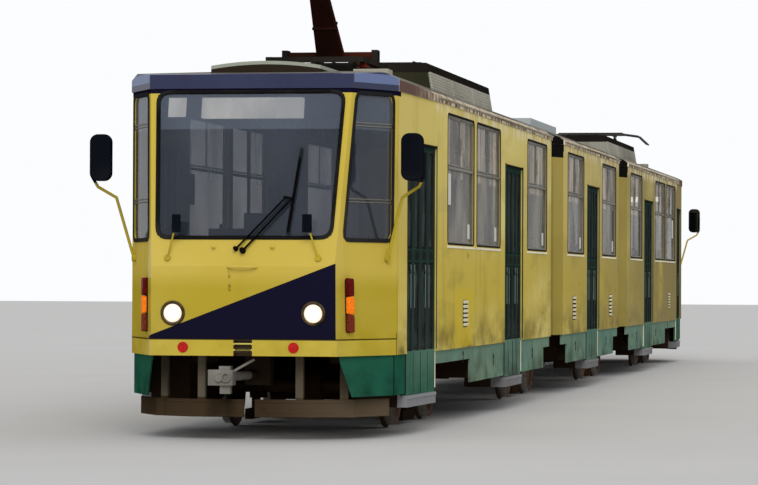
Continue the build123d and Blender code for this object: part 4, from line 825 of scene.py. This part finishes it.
# Doors: four folding leaves to each doorway, light-alloy frames in dark green with tall glass strips.
# Rubber lips close the gaps, pale grips stand in the glass recess, and each pair has a push plate.
door_finish = Finish("door_enamel", Roughness=0.45)
x, y, z = door_finish.place()
upper = door_finish.wear((16, 24, 21), (20, 28, 25), (8, 11, 10), 0.4)
lower = door_finish.wear((36, 50, 44), (44, 54, 48), (24, 22, 17), 0.6, 0.34)
first_door = (nose_length - abs(y)) < 2.6
lower = door_finish.mix(first_door * 0.6, lower, door_finish.wear((17, 40, 31), (30, 47, 39), GRIME, 0.5))
door_finish.feed(Base_Color=door_finish.mix(z > 0.735, lower, upper))
leaf_glass = mottled("leaf_glass", (10, 12, 13), (22, 24, 25), 4.0, 0.4, 0.7, Roughness=0.1, Alpha=0.85,
                     Coat_Weight=0.06, Coat_Roughness=0.05)
dress(door_finish, "_doors", "_leaf_1", "_leaf_2", "_leaf_3", "_leaf_4")
grip_enamel = painted("grip_enamel", (50, 56, 52), (40, 45, 42), GRIME, 0.4, Roughness=0.4)
LEAF_PITCH, LEAF_RECESS, BORDER = door_width / 4, 0.015, 0.048
LEAF_LIGHTS = ((0.712, 1.479), (1.601, 2.46))


def leaf_trim(start, end, shut, index):
    """Lips with push plate, grips and glass of one leaf, from its edges along the wall."""
    lips, grips, panes = Shape(), Shape(), Shape()
    for low, high in LEAF_LIGHTS:
        pane = rectangle(start + BORDER + 0.0005, end - BORDER - 0.0005, low, high)
        panes.prism(on_side(pane, LEAF_RECESS + 0.0095), (-0.0015, 0, 0))
        frame_line = rectangle(start + BORDER + 0.006, end - BORDER - 0.006, low + 0.006, high - 0.006)
        beading(lips, dense_loop(frame_line, 0.012, 0.2), LEAF_RECESS + 0.0095, (0.014, 0.0085, 0.003),
                closed=True)
    gap, width = (0.0001, 0.01) if shut else (0.0045, 0.006)
    lip = start - gap / 2 if index in (0, 2) else end + gap / 2
    beading(lips, [(lip, 0.334), (lip, 2.508)], LEAF_RECESS + 0.012, (width, 0.0135, 0.002), 0.4)
    grip_y = start + BORDER + 0.03 if index in (1, 3) else end - BORDER - 0.03
    grip = dense(on_side([(grip_y, 1.08), (grip_y, 1.46)], LEAF_RECESS + 0.0045), 0.05)
    grips.along(grip, ring_profile(0.0043, 8), OUT)
    plate = dense_loop(rectangle(start + 0.07, end - 0.07, 1.5, 1.58), 0.03, 0.05)
    lips.prism(on_side(plate, LEAF_RECESS), (0.0022, 0, 0))
    beading(lips, [(start + 0.01, 0.345), (start + 0.01, 0.69)], LEAF_RECESS, (0.008, 0.0025, 0.001), 0.2)
    return lips, grips, panes


def merge(shapes):
    """One shape from several."""
    whole = Shape()
    for shape in shapes:
        for points in shape.points:
            whole.points.append(points)
        whole.faces += [tuple(i + whole.count for i in face) for face in shape.faces]
        whole.count += shape.count
    return whole


LEAF_TRIM = (("lips", rubber), ("grips", grip_enamel), ("panes", leaf_glass))
for section in SECTIONS:
    for side, hand in ((1, "right"), (-1, "left")):
        gathered = []
        for start in DOORS[section]:
            if section == "front" and side == 1 and start == door_2_y:
                continue
            for index in range(4):
                leaf_start, leaf_end = start + index * LEAF_PITCH, start + (index + 1) * LEAF_PITCH
                gathered.append(leaf_trim(leaf_start + 0.0002, leaf_end - 0.0002, True, index))
        for (label, finish), trims in zip(LEAF_TRIM, zip(*gathered)):
            whole = merge(trims)
            if side == -1:
                whole.points = [points * np.array([-1.0, 1.0, 1.0]) for points in whole.points]
                whole.faces = [tuple(reversed(face)) for face in whole.faces]
            fit(whole, section, f"door_{label}_{hand}", finish, once=True)
for index in range(4):
    leaf_start, leaf_end = door_2_y + index * LEAF_PITCH, door_2_y + (index + 1) * LEAF_PITCH
    trims = leaf_trim(leaf_start + 0.006, leaf_end - 0.006, False, index)
    for (label, finish), shape in zip(LEAF_TRIM, trims):
        fit(shape, "front", f"leaf_{index + 1}_{label}", finish, body=f"door_leaf_{index + 1}",
            once=True)
for section in SECTIONS:
    heads, jambs, edges = Shape(), Shape(), Shape()
    for start in DOORS[section]:
        head = [(start + 0.004, 2.5165), (start + door_width - 0.004, 2.5165)]
        beading(heads, head, -0.0005, (0.022, 0.01, 0.004), 0.3)
        wide = 0.018 if start == door_1_y else 0.062
        for edge in (start - wide / 2 - 0.003, start + door_width + wide / 2 + 0.003):
            beading(jambs, [(edge, 0.7), (edge, 2.535)], -0.0005, (wide, 0.005, 0.002), 0.3)
        foot = start + door_width + 0.014
        beading(edges, [(foot, 0.36), (foot, 0.684)], 0.02, (0.018, 0.012, 0.002), 0.3)
    fit(heads, section, "door_head_rails", dark_steel)
    fit(jambs, section, "door_jamb_strips", door_finish)
    fit(edges, section, "step_edge_strips", sill_paint)


# Louvres: pressed steel air grilles low on the side, six bright slats over a dark plate, painted shade in
# each opening.
LOUVRES = by_section([(4.196, 0.882, 1.138)], [(13.08, 0.85, 1.14), (17.22, 0.85, 1.14)])
SLATS = 6
slat_enamel = painted("louvre_slats", (95, 93, 82), (85, 82, 66), GRIME, 0.2, Roughness=0.5)
for section in SECTIONS:
    slot_shades, slats = Shape(), Shape()
    for along, low, high in LOUVRES[section]:
        # Each slot is a near-black plate on the wall behind the slats: painted shade in the opening.
        slot = dense_loop(rectangle(along - 0.145, along + 0.145, low, high), 0.012, 0.05)
        slot_shades.prism(on_side(slot, -0.0002), (0.003, 0, 0))
        for k in range(SLATS):
            up = low + (k + 0.55) * (high - low) / SLATS
            blade = dense(on_side([(along - 0.13, up), (along + 0.13, up)], -0.003), 0.05)
            slats.along(blade, [(-0.014, 0), (0.012, 0), (0.014, 0.004), (-0.008, 0.014)], OUT)
    fit(slot_shades, section, "louvre_slots", lamp_case)
    fit(slats, section, "louvre_slats", slat_enamel)


# Roof equipment: brake resistor boxes with louvred sides, a converter box, an arched lid over the cab,
# and the pantograph's base frame on ribbed insulators.
gear_finish = Finish("roof_equipment", Roughness=0.7)
x, y, z = gear_finish.place()
from_nose = nose_length - abs(y)
grey = gear_finish.wear((62, 61, 56), (70, 68, 62), (24, 21, 18), 0.5)
olive = gear_finish.wear((20, 20, 14), (27, 26, 19), (12, 11, 8), 0.5)
oxide = gear_finish.wear((46, 17, 11), (38, 15, 11), (14, 7, 5), 0.5)
black = gear_finish.wear((13, 12, 11), (20, 18, 16), (8, 7, 6), 0.5)
# The arched lid over the cab is pale along its top edge and painted dark below it: painted shadow under the
# edge.
lid_top = 3.225 - x * x * 0.174
lid_edge_over_shadow = gear_finish.mix(z > (lid_top - 0.03), (20, 17, 14), (66, 68, 62))
grey = grey.under(from_nose < 2.5, lid_edge_over_shadow)
grey = grey.under((from_nose > 12.0), (70, 73, 73))
coat = gear_finish.mix(from_nose.between(4.88, 4.93), grey, olive)
coat = coat.under(from_nose.between(3.0, 4.45), black)
coat = coat.under(from_nose.between(4.8, 9.4) * (z > 3.372), black)
insulators = from_nose.between(3.1, 4.3) * z.between(3.12, 3.352) * abs(x).between(0.36, 0.5)
coat = coat.under(insulators, oxide)
gear_finish.feed(Base_Color=coat)
gear_finish.bump(gear_finish.noise(20.0, 3.0), 0.003)
dress(gear_finish, "_roof_gear")
slat_grey = painted("resistor_slats", (78, 77, 72), (62, 61, 56), (25, 22, 19), 0.5, Roughness=0.6)
insulator_glaze = painted("insulator_glaze", (50, 18, 12), (40, 15, 11), (20, 10, 8), 0.4, Roughness=0.25,
                          Coat_Weight=0.6)
shed = [(0.03, -0.01), (0.056, -0.004), (0.057, 0.002), (0.04, 0.008), (0.03, 0.016)]
for section in ENDS:
    slats, sheds, small = Shape(), Shape(), Shape()
    for k in range(8):
        up = 3.15 + 0.028 * k
        half = 0.8 - (up - 3.085) / 0.355 * 0.06
        for first, last in ((5.0, 6.3), (6.4, 7.7), (7.8, 9.1)):
            line = dense([(half, first, up), (half, last, up)], 0.3)
            slats.along(line, [(-0.01, 0), (0.01, 0), (0.012, 0.005), (-0.006, 0.016)], (1, 0, 0.17))
    cover = dense_loop(rectangle(-0.7, 0.7, 4.96, 9.14), 0.05, 0.2)
    small.prism([(*corner, 3.44) for corner in cover], (0, 0, 0.01))
    for across_rib in (-0.6, -0.2, 0.2, 0.6):
        small.tube((across_rib, 5.0, 3.452), (across_rib, 9.1, 3.452), 0.012, 8)
    for across_box, along, size, height in ((0.62, 2.65, 0.16, 0.13), (-0.62, 2.75, 0.14, 0.15),
                                            (0.55, 10.72, 0.1, 0.1), (-0.1, 2.75, 0.12, 0.12)):
        base = rectangle(across_box - size, across_box + size, along - 0.12, along + 0.12)
        small.prism([(*corner, 3.1) for corner in base], (0, 0, height))
    for across_post in (-0.43, 0.43):
        for along in (3.2, 4.2):
            for k in range(4):
                up = 3.155 + 0.045 * k
                sheds.turned(shed, (across_post, along, up), UP, 24)
    fit(slats, section, "resistor_slats", slat_grey)
    fit(small, section, "roof_boxes", gear_finish, bevel=0.006, once=True)
    fit(sheds, section, "insulator_sheds", insulator_glaze, once=True)


# Pantographs: a welded lower arm in red-brown, a light steel upper frame, and a head with carbon strips.
# Tension springs lie along the base; the front one is raised, the rear one folded down.
arm_finish = painted("lower_arm_oxide", (17, 9, 7), (32, 14, 9), (6, 5, 4), 0.6, Roughness=0.6)
arm_steel = painted("upper_arm_steel", (24, 22, 21), (34, 31, 28), (12, 8, 6), 0.5, Metallic=0.3,
                    Roughness=0.55)
carbon = mottled("contact_carbon", (7, 7, 8), (20, 19, 18), 40.0, 0.4, 0.7, Roughness=0.5)
dress(arm_finish, "_pantograph_lower_arm")
dress(arm_steel, "_upper_arm", "_pantograph_head")
LOWER_ARM, UPPER_ARM, PIVOT_Y, PIVOT_Z = 1.35, 1.75, 3.85, 3.43
LOWER_RISE, UPPER_RISE, UPPER_SHARE, FOLDED = 42.0, 39.0, 0.93, 39.0


def arm_points(fold):
    """Knee and head of the pantograph: each arm's length along its angle; both angles fall with the fold."""
    low, high = math.radians(LOWER_RISE - fold), math.radians(UPPER_RISE - UPPER_SHARE * fold)
    knee = (0, PIVOT_Y - LOWER_ARM * math.cos(low), PIVOT_Z + LOWER_ARM * math.sin(low))
    return knee, (0, knee[1] + UPPER_ARM * math.cos(high), knee[2] + UPPER_ARM * math.sin(high))


def coil(start, end, radius, turns, wire):
    """A coil spring as a helix: a circle whose centre moves from start to end."""
    t = np.linspace(0, 1.0, turns * 14)
    start, end = np.asarray(start, float), np.asarray(end, float)
    run = (end - start) / np.linalg.norm(end - start)
    first = np.cross(run, (0, 0, 1.0) if abs(run[2]) < 0.9 else (1.0, 0, 0))
    first = first / np.linalg.norm(first)
    second = np.cross(run, first)
    angle = 2 * np.pi * turns * t
    spoke = np.cos(angle)[:, None] * first + np.sin(angle)[:, None] * second
    path = start + t[:, None] * (end - start) + radius * spoke
    return Shape().along(path, ring_profile(wire, 6), run)


for section, fold in (("front", 0), ("rear", FOLDED)):
    knee, head = arm_points(fold)
    strips, collars = Shape(), Shape()
    for offset in (-0.17, 0.17):
        along, up = head[1] + offset, head[2] + 0.1
        strips.along(dense([(-0.51, along, up), (0.51, along, up)], 0.1), bar_profile(0.04, 0.01, 0.004), UP)
    lower_axis = np.array([0.0, knee[1] - PIVOT_Y, knee[2] - PIVOT_Z]) / LOWER_ARM
    for share in (0.3, 0.62):
        spot = np.array([0.0, PIVOT_Y, PIVOT_Z]) + lower_axis * LOWER_ARM * share
        half = 0.13 - 0.07 * share + 0.006
        lift = np.array([0.0, -lower_axis[2], lower_axis[1]]) * 0.037
        for sign in (-1, 1):
            collars.tube(spot + lift * sign + np.array([-half, 0, 0]),
                         spot + lift * sign + np.array([half, 0, 0]), 0.014, 8)
    link_start = np.array([0.1, PIVOT_Y, PIVOT_Z]) + lower_axis * 0.12
    link_end = np.array([0.045, knee[1], knee[2]]) - lower_axis * 0.1
    collars.tube(link_start, link_end, 0.012, 8)
    base_springs = merge([coil((sx, 3.93, 3.4), (sx, 4.27, 3.4), 0.03, 12, 0.005) for sx in (-0.18, 0.18)])
    fit(strips, section, "contact_strips", carbon, body=f"{section}_head", once=True)
    fit(collars, section, "lower_arm_stiffeners", arm_finish, body=f"{section}_lower_arm",
        once=True)
    fit(base_springs, section, "raising_springs", arm_steel, once=True)


# Bellows: rubber moulded in pleats between two frames, all round each gangway.
# It stretches on one side and closes on the other as the tram goes round a curve.
bellows_rubber = Finish("bellows_rubber", Roughness=0.85)
coat = bellows_rubber.wear((34, 34, 33), (44, 43, 41), (18, 16, 14), 0.6)
bellows_rubber.feed(Base_Color=coat)
bellows_rubber.bump(bellows_rubber.noise(160.0, 2.0), 0.002)
gap_start, gap_end, pleats = joint_y - 0.32, joint_y + 0.32, 9
for section in ENDS:
    outer_half, top, low = 1.088, 2.888, 0.908
    corner = 0.1
    turn_angle = np.linspace(0, np.pi / 2, 7)
    right = [(outer_half, up) for up in np.linspace(low, top - corner, 14)]
    bend = [(outer_half - corner + corner * math.cos(a), top - corner + corner * math.sin(a))
            for a in turn_angle]
    half_loop = np.array(right + bend[1:])
    crown = [(x, top) for x in np.linspace(outer_half - corner, corner - outer_half, 14)[1:-1]]
    loop = np.concatenate([half_loop, crown, (half_loop * np.array([-1.0, 1.0]))[::-1]])
    centre = np.array([0.0, 1.9])
    outwards = loop - centre
    outwards = outwards / np.linalg.norm(outwards, axis=1, keepdims=True)
    stations = np.linspace(0, 1.0, pleats * 8 + 1)
    depth = 0.03 * (np.cos(2 * np.pi * pleats * stations) - 1.0)
    skin = []
    for thickness in (0, -0.004):
        across_up = loop[None] + (depth[:, None, None] + thickness) * outwards[None]
        along = np.broadcast_to((gap_start + 0.002 + (gap_end - gap_start - 0.004) * stations)[:, None],
                                across_up.shape[:2])
        skin.append(np.stack([across_up[..., 0], along, across_up[..., 1]], axis=-1))
    pleated = Shape().grid(np.concatenate([skin[0], skin[1][::-1]]), wrap_rows=True)
    piece = fit(pleated, section, "bellows_pleats", bellows_rubber, body="blend",
                replaces=[f"{section}_bellows"], smooth=50.0, once=True)
    sign = -1.0 if section == "front" else 1.0
    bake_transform(piece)


# Bogies: cast frames with motors and track brakes, rail wheels with bright treads, coil springs at each axle.
# Everything down here is brown with brake dust.
bogie_finish = painted("bogie_casting", (16, 12, 9), (27, 20, 14), (7, 5, 4), 0.4, Roughness=0.85)
bogie_finish.bump(bogie_finish.noise(40.0, 4.0), 0.004)
dress(bogie_finish, "_frame")
wheel_finish = painted("wheel_steel", (25, 18, 13), (34, 26, 19), (10, 7, 5), 0.3, Metallic=0.3)
dress(wheel_finish, "_wheelset_1", "_wheelset_2")
tread_steel = mottled("polished_tread", (62, 60, 57), (42, 38, 34), 30.0, 0.4, 0.8, Metallic=1.0,
                      Roughness=0.28)
BOGIE_Y, HALF_BASE, WHEEL_X, WHEEL_RADIUS = (3.9, 11.4, 18.9, 26.4), 0.95, 0.7175, 0.35
spring_cap = [(0, 0), (0.12, 0), (0.12, 0.012), (0.1, 0.02), (0, 0.02)]
rim = [(0.3505, -0.03), (0.3512, -0.028), (0.3486, 0.052), (0.3478, 0.054), (0.344, 0.054), (0.344, -0.03)]
for number, centre_y in enumerate(BOGIE_Y, 1):
    bogie = f"bogie_{number}"
    springs, bolts = [], Shape()
    for axle in (-HALF_BASE, HALF_BASE):
        along = centre_y + axle
        for sx in (-0.49, 0.49):
            for dy in (-0.075, 0.075):
                springs.append(coil((sx, along + dy, 0.54), (sx, along + dy, 0.64), 0.045, 4, 0.01))
            bolts.turned(spring_cap, (sx, along, 0.64), UP, 24)
        rims = Shape()
        for sign in (-1, 1):
            rims.turned(rim, (sign * (WHEEL_X + 0.017), along, WHEEL_RADIUS), (sign, 0, 0), 72)
        axle_number = 1 if axle < 0 else 2
        fit(rims, bogie, f"treads_{axle_number}", tread_steel,
            body=f"{bogie}_wheelset_{axle_number}", once=True)
    fit(merge(springs + [bolts]), bogie, "springs", bogie_finish, body=bogie, once=True)


# Floor and light: a plain pale floor under a white sky, with one broad soft lamp from the camera's side.
pale_floor = mottled("pale_floor", (0.62, 0.61, 0.6, 1.0), (0.64, 0.63, 0.62, 1.0), 0.4, 0.2, 0.8,
                     Roughness=0.9)
floor_shape = bpy.data.meshes.new("studio_floor")
reach = 150.0
floor_shape.from_pydata([(-reach, -reach, 0), (reach, -reach, 0), (reach, reach, 0), (-reach, reach, 0)], [],
                        [(0, 1, 2, 3)])
floor_shape.materials.append(pale_floor.material)
studio_floor = placed("studio_floor", floor_shape)

world = bpy.data.worlds.new("white_sky")
bpy.context.scene.world = world
world.use_nodes = True
SKY_LIGHT, SKY_SEEN = 0.55, 1.0
sky = Nodes(world.node_tree)
rays = sky.node("ShaderNodeLightPath", {}).socket.node.outputs
direct, mirrored, through = (Value(sky, rays[f"Is {kind} Ray"])
                             for kind in ("Camera", "Glossy", "Transmission"))
in_view = direct.math("MAXIMUM", mirrored).math("MAXIMUM", through)
strength = sky.node("ShaderNodeMapRange", {}, in_view, None, None, SKY_LIGHT, SKY_SEEN)
background = world.node_tree.nodes["Background"]
sky.join(background.inputs["Strength"], strength)
background.inputs["Color"].default_value = (0.97, 0.98, 1.0, 1.0)
for name, energy, spread, tilt in (("broad_lamp", 1.5, 35.0, (58.0, 0, 12.0)),
                                   ("fill_lamp", 0.45, 60.0, (62.0, 0, 150.0))):
    lamp = bpy.data.lights.new(name, "SUN")
    lamp.energy, lamp.angle = energy, math.radians(spread)
    placed(name, lamp).rotation_euler = [math.radians(angle) for angle in tilt]

bpy.context.scene.view_settings.view_transform = "Standard"
